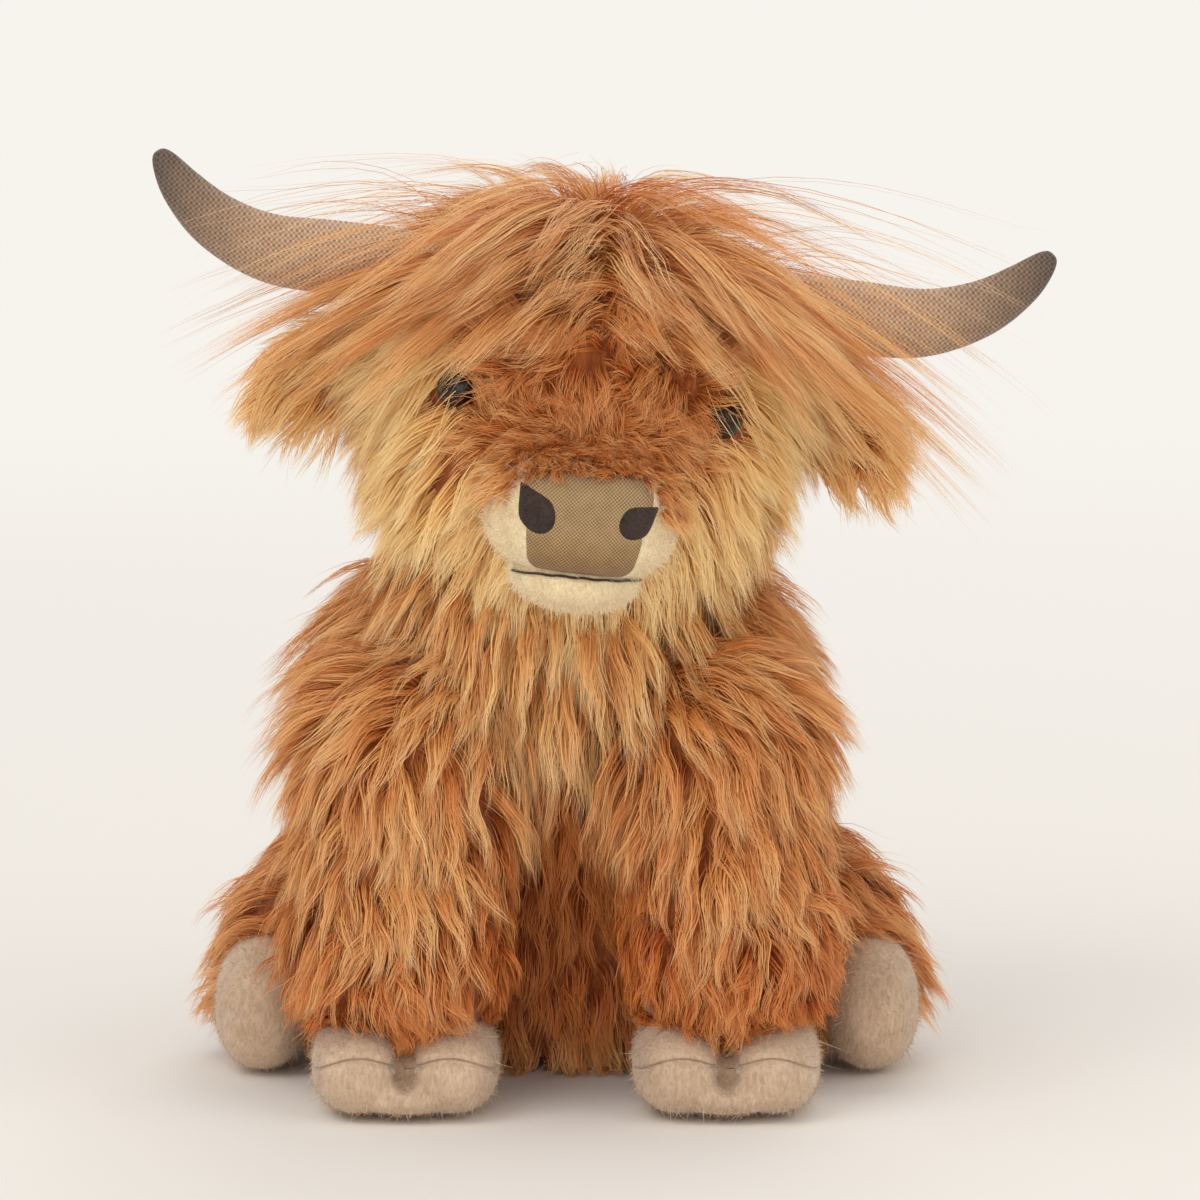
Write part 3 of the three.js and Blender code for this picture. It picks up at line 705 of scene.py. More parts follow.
def plain_shader(
    name: str, roughness: float, gloss: float, sheen: float = 0.0
) -> tuple[Material, Nodes, Node]:
    """A material with one Principled shader whose constant values are set on its own sockets.

    Args:
        name: The material's name.
        roughness: How rough it is.
        gloss: Its specular level.
        sheen: The weight of its sheen.

    Returns:
        The material, its nodes and its shader.
    """
    material = bpy.data.materials.new(name)
    material.use_nodes = True
    nodes = Nodes(material.node_tree)
    shader = next(n for n in nodes.tree.nodes if n.type == "BSDF_PRINCIPLED")
    shader.inputs["Roughness"].default_value = roughness
    shader.inputs["Specular IOR Level"].default_value = gloss
    shader.inputs["Sheen Weight"].default_value = sheen
    return material, nodes, shader


@dataclass(frozen=True)
class FurFinish:
    """Long pile, from its roots to its tips, between a deep and a pale dye."""

    name: str
    deep: tuple[Colour, Colour, Colour, Colour] = (
        (0.250, 0.041, 0.006),
        (0.500, 0.104, 0.015),
        (0.690, 0.198, 0.034),
        (0.780, 0.300, 0.072),
    )
    pale: tuple[Colour, Colour, Colour, Colour] = (
        (0.560, 0.180, 0.037),
        (0.860, 0.395, 0.102),
        (0.960, 0.600, 0.225),
        (0.985, 0.775, 0.430),
    )
    places: tuple[float, float, float, float] = (0.0, 0.28, 0.62, 1.0)

    def material(self) -> Material:
        """The finish, with its dye read across the strands' map and its shade along it.

        Returns:
            The material.
        """
        material, nodes, shader = plain_shader(self.name, roughness=0.45, gloss=0.4)
        dye, shade = nodes.mapped()
        deep = nodes.stops(shade, list(zip(self.places, self.deep, strict=True)))
        pale = nodes.stops(shade, list(zip(self.places, self.pale, strict=True)))
        nodes.join(nodes.mixed(dye, deep, pale), shader.inputs["Base Color"])
        return material


@dataclass(frozen=True)
class NapFinish:
    """Short plush or the cloth under long fur: two shades of one dye in a fine nap."""

    name: str
    dark: Colour
    light: Colour
    fineness: float = 900.0
    stretch: float = 0.35
    patches: float = 70.0
    bump: float = 0.35
    sheen: float = 0.35

    def material(self) -> Material:
        """The finish, with the nap in its colour and its relief.

        Returns:
            The material.
        """
        material, nodes, shader = plain_shader(self.name, roughness=0.9, gloss=0.2, sheen=self.sheen)
        nap = nodes.effect(NAP, Fineness=self.fineness, Stretch=self.stretch, Patches=self.patches)
        shade = nodes.mixed(nap.outputs["Shade"], self.dark, self.light)
        nodes.join(shade, shader.inputs["Base Color"])
        nodes.relief(shader, nap.outputs["Height"], strength=self.bump, depth=0.0006)
        return material


@dataclass(frozen=True)
class KnitFinish:
    """A knitted cover whose colour changes along the piece's own map."""

    name: str
    stops: tuple[tuple[float, Colour], ...]
    rows: float
    columns: float
    dots: float
    bump: float = 0.7
    # Painted shade for the hollows and painted light for the stitches' tops, which scale the colour
    hollow: Colour = (0.42, 0.38, 0.33)
    stitch: Colour = (1.2, 1.18, 1.16)

    def material(self) -> Material:
        """The finish, with painted shade in the hollows between the stitches and painted light on their
        tops.

        Returns:
            The material.
        """
        material, nodes, shader = plain_shader(self.name, roughness=0.85, gloss=0.25, sheen=0.2)
        knit = nodes.effect(KNIT, Rows=self.rows, Columns=self.columns, Dots=self.dots)
        _, along = nodes.mapped()
        # Painted shade in the hollows and painted light on the stitches' tops, multiplied into the colour
        light = nodes.stops(knit.outputs["Shade"], ((0.2, self.hollow), (0.8, self.stitch)))
        painted_stitch_shading = nodes.add("ShaderNodeMix", data_type="RGBA", blend_type="MULTIPLY", in_0=1.0)
        nodes.join(nodes.stops(along, self.stops), painted_stitch_shading.inputs[6])
        nodes.join(light, painted_stitch_shading.inputs[7])
        nodes.join(painted_stitch_shading.outputs[2], shader.inputs["Base Color"])
        nodes.relief(shader, knit.outputs["Height"], strength=self.bump, depth=0.0004)
        return material


@dataclass(frozen=True)
class MouldedFinish:
    """Moulded plastic: one dye with a faint cloudiness."""

    name: str
    dark: Colour
    light: Colour
    roughness: float
    gloss: float

    def material(self) -> Material:
        """The finish.

        Returns:
            The material.
        """
        material, nodes, shader = plain_shader(self.name, self.roughness, self.gloss)
        shade = nodes.mixed(nodes.effect(CLOUD).outputs["Shade"], self.dark, self.light)
        nodes.join(shade, shader.inputs["Base Color"])
        return material


FUR = FurFinish("long_fur")
GOLDEN_FUR = FurFinish(
    "golden_long_fur",
    ((0.33, 0.070, 0.010), (0.61, 0.160, 0.026), (0.78, 0.275, 0.058), (0.86, 0.390, 0.110)),
    ((0.73, 0.268, 0.060), (0.98, 0.482, 0.138), (1.0, 0.668, 0.258), (1.0, 0.805, 0.445)),
)
CREAM_PILE = FurFinish(
    "cream_pile",
    ((0.60, 0.42, 0.22), (0.74, 0.57, 0.33), (0.84, 0.67, 0.41), (0.90, 0.75, 0.49)),
    ((0.74, 0.57, 0.33), (0.88, 0.73, 0.47), (0.95, 0.83, 0.58), (0.98, 0.89, 0.68)),
)
BEIGE_PILE = FurFinish(
    "beige_pile",
    ((0.41, 0.275, 0.18), (0.50, 0.345, 0.23), (0.59, 0.42, 0.285), (0.66, 0.49, 0.34)),
    ((0.55, 0.39, 0.265), (0.68, 0.50, 0.35), (0.77, 0.60, 0.43), (0.83, 0.68, 0.51)),
)
FUR_CLOTH = NapFinish(
    "fur_cloth", (0.20, 0.045, 0.010), (0.46, 0.135, 0.030), fineness=500, stretch=0.2, patches=90, bump=0.8
)
CREAM_PLUSH = NapFinish(
    "cream_plush", (0.66, 0.50, 0.27), (0.92, 0.77, 0.50), fineness=1100, stretch=0.6, patches=120
)
BEIGE_PLUSH = NapFinish(
    "beige_plush", (0.48, 0.335, 0.22), (0.72, 0.535, 0.375), fineness=900, stretch=0.3, patches=80
)
# The nose's knit is darker towards its bottom
NOSE_KNIT = KnitFinish(
    "nose_knit",
    ((0.0, (0.31, 0.17, 0.068)), (0.4, (0.45, 0.295, 0.142)), (1.0, (0.44, 0.305, 0.160))),
    rows=29, columns=38, dots=1.0,
)
HORN_KNIT = KnitFinish(
    "horn_knit",
    (
        (0.0, (0.80, 0.56, 0.38)),
        (0.35, (0.72, 0.50, 0.34)),
        (0.62, (0.56, 0.385, 0.26)),
        (0.84, (0.31, 0.215, 0.153)),
        (1.0, (0.14, 0.105, 0.086)),
    ),
    rows=54, columns=31, dots=0.8,
)
# A dark line of painted shadow that stands for the crease along the hooves' toe seams
SEAM_PAINTED_SHADOW = NapFinish(
    "seam_thread", (0.30, 0.195, 0.12), (0.46, 0.32, 0.21), fineness=1500, stretch=1, patches=200
)
DARK_CLOTH = NapFinish(
    "dark_cloth", (0.018, 0.010, 0.008), (0.055, 0.032, 0.024), fineness=1200, stretch=1, patches=200
)
FILLING = NapFinish(
    "fibre_filling", (0.74, 0.73, 0.69), (0.92, 0.91, 0.88), fineness=400, stretch=1, patches=60
)
POUCH_CLOTH = NapFinish(
    "pouch_cloth", (0.58, 0.55, 0.48), (0.74, 0.71, 0.64), fineness=1500, stretch=1, patches=90
)
EYE_PLASTIC = MouldedFinish("eye_plastic", (0.006, 0.003, 0.002), (0.020, 0.010, 0.006), 0.13, 0.32)
WASHER_PLASTIC = MouldedFinish("washer_plastic", (0.70, 0.69, 0.65), (0.82, 0.81, 0.78), 0.5, 0.5)

Finish = FurFinish | NapFinish | KnitFinish | MouldedFinish
_worn_so_far: dict[str, Material] = {}


def worn(finish: Finish) -> Material:
    """The material of a finish, made once.

    Args:
        finish: The finish.

    Returns:
        The material.
    """
    if finish.name not in _worn_so_far:
        _worn_so_far[finish.name] = finish.material()
    return _worn_so_far[finish.name]


def add_piece(
    name: str,
    surface: Surface,
    finish: Finish,
    body: str,
    slot: str,
    replaces: Sequence[str] = (),
) -> Piece:
    """Adds a dressed piece that rides on a body.

    Args:
        name: The piece's name.
        surface: Its surface in the toy frame.
        finish: What it wears.
        body: The body that carries it.
        slot: The material slot of the record that it belongs to; not used.
        replaces: The solids that it stands for.

    Returns:
        The Blender object.
    """
    piece = bpy.data.objects.new(name, blender_mesh(name, surface))
    piece.data.materials.append(worn(finish))
    bpy.context.scene.collection.objects.link(piece)
    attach(piece, body)
    if replaces:
        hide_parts(*replaces)
    log.info("%s: %d points on %s", name, len(surface.points), body)
    return piece


# Fur


@dataclass(frozen=True)
class Roots:
    """Where the pile is rooted: the places, and the skin's outward direction at each."""

    places: Array
    facing: Array

    def picked(self, kept: Array) -> Roots:
        """Some of the roots."""
        return Roots(self.places[kept], self.facing[kept])


@dataclass
class Combed:
    """How the pile lies at each root: where it runs, its length, how far it stands up at its root
    and settles over the skin, how pale it is and how far it waves."""

    direction: Array
    length: Array
    lift: Array
    stand: Array
    tone: Array
    wave: Array

    def picked(self, kept: Array) -> Combed:
        """The pile at some of the roots."""
        return Combed(*(getattr(self, key)[kept] for key in self.__dataclass_fields__))


def combed(
    direction: Array, length: Numbers, lift: Numbers, stand: Numbers, tone: Numbers, wave: Numbers
) -> Combed:
    """A comb whose numbers may be the same at every root.

    Args:
        direction: The way that the pile runs at each root.
        length: Its length in millimetres.
        lift: How far it stands up at its root, as a share of its run.
        stand: How high it settles over the skin in millimetres.
        tone: From 0, the deep dye, to 1, the pale dye.
        wave: How far the locks wave in millimetres.

    Returns:
        The comb with a number for each root.
    """
    count = len(direction)
    numbers = (length, lift, stand, tone, wave)
    return Combed(direction, *(np.broadcast_to(number, count).astype(float) for number in numbers))


@dataclass
class Shell:
    """All the toy's skins together, which the fur lies on."""

    surfaces: list[tuple[str, Surface]] = field(default_factory=list)
    whole: BVHTree | None = None
    search: float = 30.0
    off_floor: float = 0.6

    def add(self, body: str, surface: Surface) -> None:
        """Adds one body's skin."""
        self.surfaces.append((body, surface))
        self.whole = None

    def tree(self) -> BVHTree:
        """The tree of all the skins' faces, made once.

        Returns:
            The tree.
        """
        if self.whole is None:
            self.whole = joined(*(replace(skin, uv=None) for _, skin in self.surfaces)).tree()
        return self.whole

    def clear(self, points: Array, stand: Array) -> Array:
        """Moves points out to stand above the nearest skin and the floor.

        Args:
            points: The points.
            stand: The height of each point over the skin.

        Returns:
            The points where they clear the skins.
        """
        tree, out = self.tree(), points.copy()
        for i, (point, height) in enumerate(zip(points, stand, strict=True)):
            place, normal, _, _ = tree.find_nearest(Vector(point), self.search)
            if place is None:
                continue
            above = (Vector(point) - place).dot(normal)
            if above < height:
                out[i] += np.array(normal) * (height - above)
        out[:, 2] = np.maximum(out[:, 2], self.off_floor)
        return out

    def buried(self, body: str, points: Array, depth: float) -> Array:
        """Whether each point lies deeper than a depth inside another body's skin.

        Args:
            body: The body that the points belong to.
            points: The points.
            depth: The depth that counts.

        Returns:
            A yes or no for each point.
        """
        inside = np.zeros(len(points), bool)
        for other, surface in self.surfaces:
            if other == body:
                continue
            low, high = surface.points.min(0), surface.points.max(0)
            near = ((points > low) & (points < high)).all(1) & ~inside
            tree = surface.tree()
            for i in np.flatnonzero(near):
                place, normal, _, _ = tree.find_nearest(Vector(points[i]))
                inside[i] = (Vector(points[i]) - place).dot(normal) < -depth
        return inside


def pile_frame(line: Array, facing: Array) -> tuple[Array, Array]:
    """Finds the directions beside and above each point of each line.

    Args:
        line: The points of each line.
        facing: The skin's direction at each root.

    Returns:
        The direction beside and the one above.
    """
    along = unit(np.gradient(line, axis=1))
    beside = unit(np.cross(along, facing[:, None]))
    return beside, np.cross(beside, along)


@dataclass(frozen=True)
class BareSpot:
    """A round place that only a share of the strands cross."""

    middle: Sequence[float]
    radii: Sequence[float]
    crossing: float

    def clear_of(self, points: Array) -> Array:
        """Whether each row of points stays out of it."""
        away = (points - np.array(self.middle)) / np.array(self.radii)
        return (np.linalg.norm(away, axis=-1) > 1).all(2)


# Lengths in millimetres: how deep the strands start under the cloth and the nap under the plush,
# how far a lock runs in one wave, how near to the floor a strand may come, the shortest lock, and
# how deep inside another body's skin a root grows nothing
ROOT_DEPTH = 1.2
NAP_DEPTH = 0.4
WAVE_RUN = 26.0
STRAND_OFF_FLOOR = 0.3
SHORTEST = 1.0
HIDDEN_DEPTH = 1.5

# How flat the long pile lies, how much the locks and strands differ in length and tone, how many
# strands stray and how far, and how the map's numbers end at a strand's sides and tip
LAID_FLAT = 0.6
LOCK_LENGTHS = (0.76, 1.12)
STRAND_SHORTENING = 0.32
STRAND_TONE = 0.07
STRAYS = 0.07
STRAY_SPREAD, LOCK_SPREAD = 3.2, 0.7
HALF_MAP_WIDTH = 0.004
TIP_SHADE = 0.99

# Short single strands that stand on a plush cover
SHORT_PILE = {"strands": 1, "spread": 0.1, "width": 0.24, "ruffle": 0.3, "pile": Pile.NAP}


@dataclass
class Coat:
    """One body's pile: locks of strands on its skin.

    spread is the radius of a lock at its root in millimetres, width that of a strand, droop how
    soon the pile hangs, ruffle how far the locks stray from each other, cling how wide a lock still
    is at its tip, start how far along the dye its strands begin, settle how far they sink again
    towards their tips, and vary how far the locks differ in tone.
    """

    name: str
    body: str
    slot: str
    skin: Surface
    comb: Callable[[Roots], Combed]
    per_cm2: float
    seed: int
    strands: int = 22
    spread: float = 4.0
    width: float = 0.32
    droop: float = 0.22
    ruffle: float = 0.34
    cling: float = 0.2
    start: float = 0.01
    settle: float = 0.0
    vary: float = 0.13
    pile: Pile = Pile.LONG
    finish: FurFinish = FUR
    bare: Sequence[BareSpot] = ()
    replaces: Sequence[str] = ()
    turn: Array = field(default_factory=lambda: np.eye(3))
    shift: Array = field(default_factory=lambda: np.zeros(3))

    def roots(self, rng: Random) -> Roots:
        """Scatters roots over the skin.

        Args:
            rng: The random numbers.

        Returns:
            The roots.
        """
        corners = self.skin.triangles()
        points, normals = self.skin.points, self.skin.normals()
        a, b, c = (points[corners[:, i]] for i in range(3))
        area = np.linalg.norm(np.cross(b - a, c - a), axis=1) / 2
        mm2_per_cm2 = 100
        count = int(area.sum() / mm2_per_cm2 * self.per_cm2)
        picked = rng.choice(len(corners), count, p=area / area.sum())
        u, v = np.sqrt(rng.random((count, 1))), rng.random((count, 1))
        share = np.concatenate([1 - u, u * (1 - v), u * v], 1)
        places = sum(share[:, i : i + 1] * points[corners[picked, i]] for i in range(3))
        facing = unit(sum(share[:, i : i + 1] * normals[corners[picked, i]] for i in range(3)))
        return Roots(places, facing)

    def headings(self, facing: Array, comb: Combed, flat: float, rng: Random) -> tuple[Array, Array]:
        """How the pile runs on, and how it heads off at its roots.

        Args:
            facing: The skin's outward direction at each root.
            comb: How the pile lies.
            flat: How flat it lies on the skin, from 0 to 1.
            rng: The random numbers.

        Returns:
            The run and the first heading of each lock.
        """
        down = (comb.direction * facing).sum(1, keepdims=True)
        run = unit(comb.direction - facing * down * flat)
        return run, unit(run + facing * comb.lift[:, None] + rng.normal(0, self.ruffle, facing.shape))

    def guides(self, roots: Roots, comb: Combed, shell: Shell, rng: Random) -> Array:
        """Leads each lock from its root outwards.

        Args:
            roots: The pile's roots.
            comb: How the pile lies.
            shell: All the skins.
            rng: The random numbers.

        Returns:
            The points of each lock's line.
        """
        steps = self.pile.value
        step = (comb.length / (steps - 1))[:, None]
        run, heading = self.headings(roots.facing, comb, LAID_FLAT, rng)
        places = [roots.places - roots.facing * ROOT_DEPTH]
        point = roots.places
        full = comb.stand * rng.uniform(0.6, 1.4, len(point))
        for k in range(1, steps):
            share = k / (steps - 1)
            height = (1 - self.settle) * (0.35 + 0.65 * share) + self.settle * (1.05 - 0.6 * share)
            moved = shell.clear(point + heading * step, np.minimum(full * height, k * step[:, 0]))
            flown = unit(moved - point)
            point = point + flown * step
            places.append(point)
            heading = unit(flown * 0.75 + run * 0.25 - UPWARDS * self.droop)
        line = np.stack(places, 1)
        beside, above = pile_frame(line, roots.facing)
        t = np.linspace(0, 1, steps)
        phase = rng.random((len(line), 2, 1)) * 2 * np.pi
        waves = (comb.length / WAVE_RUN)[:, None] * 2 * np.pi * t
        swing = comb.wave[:, None] * np.sqrt(t)
        line = line + beside * (swing * np.sin(waves + phase[:, 0]))[..., None]
        return line + above * (0.45 * swing * np.sin(waves * 0.8 + phase[:, 1]))[..., None]

    def strand_lines(self, line: Array, facing: Array, rng: Random) -> tuple[Array, Array]:
        """Spreads the strands of every lock round its line.

        Args:
            line: The points of each lock's line.
            facing: The skin's direction at its root.
            rng: The random numbers.

        Returns:
            The points of each strand, and the direction across each.
        """
        locks, steps, _ = line.shape
        t = np.linspace(0, 1, steps)
        beside, above = pile_frame(line, facing)
        shape = (locks, self.strands)
        radius = self.spread * np.sqrt(rng.random(shape))
        angle = rng.random(shape) * 2 * np.pi
        reach = 1 - STRAND_SHORTENING * rng.random(shape) ** 1.5
        place = reach[..., None] * t * (steps - 1)
        low = np.minimum(place.astype(int), steps - 2)
        part = (place - low)[..., None]
        lock = np.arange(locks)[:, None, None]

        def read(rows: Array) -> Array:
            """Rows read between the guide's points, for each strand."""
            return rows[lock, low] * (1 - part) + rows[lock, low + 1] * part

        clinging = self.cling + (1 - self.cling) * (1 - t**1.4) ** 1.1
        stray = rng.normal(0, 1, (*shape, 3))
        stray = stray * np.where(rng.random((*shape, 1)) < STRAYS, STRAY_SPREAD, LOCK_SPREAD)
        side, lifted = read(beside), read(above)
        across = (radius * np.cos(angle))[..., None, None] * side
        height = (radius * np.sin(angle) * 0.55)[..., None, None] * lifted
        lines = read(line) + (across + height) * clinging[:, None] + stray[..., None, :] * (t**1.5)[:, None]
        lines[..., 2] = np.maximum(lines[..., 2], STRAND_OFF_FLOOR)
        roll = rng.normal(0, 0.7, shape)[..., None, None]
        return lines, side * np.cos(roll) + lifted * np.sin(roll)

    def build(self, shell: Shell) -> list[Piece]:
        """Grows the coat on its skin.

        Args:
            shell: All the skins that the fur lies on.

        Returns:
            The coat as pieces of a handy size.
        """
        rng = np.random.default_rng(self.seed)
        roots = self.roots(rng)
        comb = self.comb(roots)
        roots = Roots(roots.places @ self.turn.T + self.shift, roots.facing @ self.turn.T)
        comb.direction = unit(comb.direction) @ self.turn.T
        kept = (comb.length > SHORTEST) & ~shell.buried(self.body, roots.places, HIDDEN_DEPTH)
        roots, comb = roots.picked(kept), comb.picked(kept)
        comb.length = comb.length * rng.uniform(*LOCK_LENGTHS, len(comb.length))
        if self.pile is Pile.NAP:
            line = self.stubble(roots, comb, rng)
        else:
            line = self.guides(roots, comb, shell, rng)
        lines, across = self.strand_lines(line, roots.facing, rng)
        tone = comb.tone + rng.normal(0, self.vary, len(line))
        tones = np.clip(tone[:, None] + rng.normal(0, STRAND_TONE, lines.shape[:2]), 0.02, 0.98)
        seen = self.outside(lines, rng)
        return self.pieces(lines[seen], across[seen], tones[seen], rng)

    def outside(self, lines: Array, rng: Random) -> Array:
        """Finds the strands that stay out of the bare spots and within the toy's own reach.

        Args:
            lines: The points of each strand.
            rng: The random numbers.

        Returns:
            A yes or no for each strand.
        """
        local = (lines - self.shift) @ self.turn
        seen = (np.abs(lines[..., :2] + SHIFT[:2]) < FUR_REACH).all((2, 3))
        for spot in self.bare:
            away = spot.clear_of(local)
            seen &= away | (rng.random(away.shape) < spot.crossing)
        return seen

    def stubble(self, roots: Roots, comb: Combed, rng: Random) -> Array:
        """Makes straight guides for short pile.

        Args:
            roots: The pile's roots.
            comb: How the pile lies.
            rng: The random numbers.

        Returns:
            The two points of each line.
        """
        _, heading = self.headings(roots.facing, comb, 1.0, rng)
        t = np.linspace(0, 1, self.pile.value)
        base = roots.places - roots.facing * NAP_DEPTH
        return base[:, None] + heading[:, None] * (comb.length[:, None] * t)[..., None]

    def pieces(self, lines: Array, across: Array, tones: Array, rng: Random) -> list[Piece]:
        """Makes the strands as flat tapering ribbons.

        Args:
            lines: The points of each strand.
            across: The direction across each point.
            tones: The dye of each strand.
            rng: The random numbers.

        Returns:
            The pieces, each of up to the most triangles.
        """
        steps = lines.shape[1]
        t = np.linspace(0, 1, steps)
        taper = (1 - t**2.2)[:-1] * (0.75 + 0.5 * rng.random((len(lines), 1)))
        half = across[:, :-1] * (self.width / 2 * taper)[..., None]
        each = 2 * (steps - 1) + 1
        points = np.empty((len(lines), each, 3))
        points[:, 0:-1:2] = lines[:, :-1] - half
        points[:, 1:-1:2] = lines[:, :-1] + half
        points[:, -1] = lines[:, -1]
        uv = np.empty((len(lines), each, 2))
        uv[:, 0:-1:2, 0] = tones[:, None] - HALF_MAP_WIDTH
        uv[:, 1:-1:2, 0] = tones[:, None] + HALF_MAP_WIDTH
        uv[:, -1, 0] = tones
        uv[:, :-1, 1] = np.repeat(self.start + (TIP_SHADE - self.start) * t[:-1], 2)
        uv[:, -1, 1] = TIP_SHADE
        row = 2 * np.arange(steps - 2)
        quads = np.stack([row, row + 1, row + 3, row + 2], 1)
        tip = np.array([[each - 3, each - 2, each - 1]])
        most = MOST_TRIANGLES // (2 * len(quads) + 1)
        made = []
        for part, start in enumerate(range(0, len(lines), most)):
            few = slice(start, start + most)
            first = (np.arange(len(points[few])) * each)[:, None, None]
            faces = [(first + quads).reshape(-1, 4), (first + tip).reshape(-1, 3)]
            surface = Surface(points[few].reshape(-1, 3), faces, uv[few].reshape(-1, 2))
            name = f"{self.name}_{part + 1}"
            made.append(add_piece(name, surface, self.finish, self.body, self.slot, self.replaces))
        return made


# Forms


@dataclass
class Torso:
    """The sitting body: one stuffed form that is widest at the seat, with the neck's dome on top."""

    heights: Sequence[float] = (-0.5, 42, 84, 122, 152, 182)
    backs: Sequence[float] = (34, 38, 32, 14, 4, 0)
    half_widths: Sequence[float] = (70, 79, 80, 77, 66, 40)
    half_depths: Sequence[float] = (50, 57, 56, 57, 46, 30)
    inset: float = 5.0
    dome: float = 43.0
    off_floor: float = 0.6
    skin: Surface | None = None

    def cover(self, shell: Shell) -> None:
        """Sews the fur cloth of the body.

        Args:
            shell: Takes the skin for the fur to lie on.
        """
        path = path_through(0, self.backs, self.heights)
        form = Swell(path, self.half_widths, self.half_depths, start_full=5, end_full=3, sides=72, rings=60)
        whole = joined(form.surface(-self.inset, 0), globe(NECK, self.dome))
        self.skin = fused(whole, voxel=3.2, smoothing=6)
        self.skin.keep_above(self.off_floor)
        shell.add("torso", self.skin)
        add_piece("body_cloth", self.skin, FUR_CLOTH, "torso", "orange_fur", ["torso_fur_skin"])

    def comb(self, roots: Roots) -> Combed:
        """Fur that hangs and flares away from the toy's middle, with painted shade darkening it between the
        legs and on the toy's left front.

        Args:
            roots: The pile's roots.

        Returns:
            How the pile lies.
        """
        x, y, z = roots.places.T
        chest = ramp(-5, -30, y) * ramp(46, 24, np.abs(x))
        high = ramp(112, 142, z)
        low = ramp(34, 12, z)
        out = np.stack([x * 0.018, (y - 25) * 0.012, np.full(len(x), -1.0)], 1)
        flare = high * (1 - 0.8 * chest)
        out[:, 0] += np.clip(x / 25, -1, 1) * flare * 0.75
        out[:, 2] += flare * 0.4
        # The gap between the front legs under the chest, where the fur's tone is darkened as painted shade
        shaded_gap = ramp(30, 18, np.abs(x)) * ramp(-2, -14, y) * ramp(118, 100, z)
        out[:, :2] += roots.facing[:, :2] * (low * (1 - shaded_gap))[:, None] * 0.9
        out += swirls(roots.places, 13.0) * ((0.45 - 0.2 * chest) * (1 - shaded_gap))[:, None]
        length = (36 + 4 * chest + 4 * high - 4 * ramp(60, 20, z)) * (1 - 0.35 * low) * (z > 4)
        length = length * (1 - 0.35 * shaded_gap) * (1 - 0.6 * shaded_gap * low) * (1 - 0.3 * ramp(35, 70, x))
        # The tone drops by 0.8 in the gap between the legs: painted shade of the recess
        tone = 0.52 + 0.2 * chest - 0.14 * ramp(70, 20, z) + 0.06 * high - 0.8 * shaded_gap
        # The toy's left front is darker by 0.12: painted shade of the side away from the key light
        tone = tone - 0.12 * ramp(0, 60, x) * ramp(0, -20, y)
        return combed(out, length, lift=0.35 + 0.25 * high, stand=5.5 - 3 * shaded_gap, tone=tone, wave=1.8)

    def grow(self, shell: Shell) -> None:
        """Grows the body's fur."""
        Coat("body_fur", "torso", "orange_fur", self.skin, self.comb, per_cm2=4.2, seed=11).build(shell)


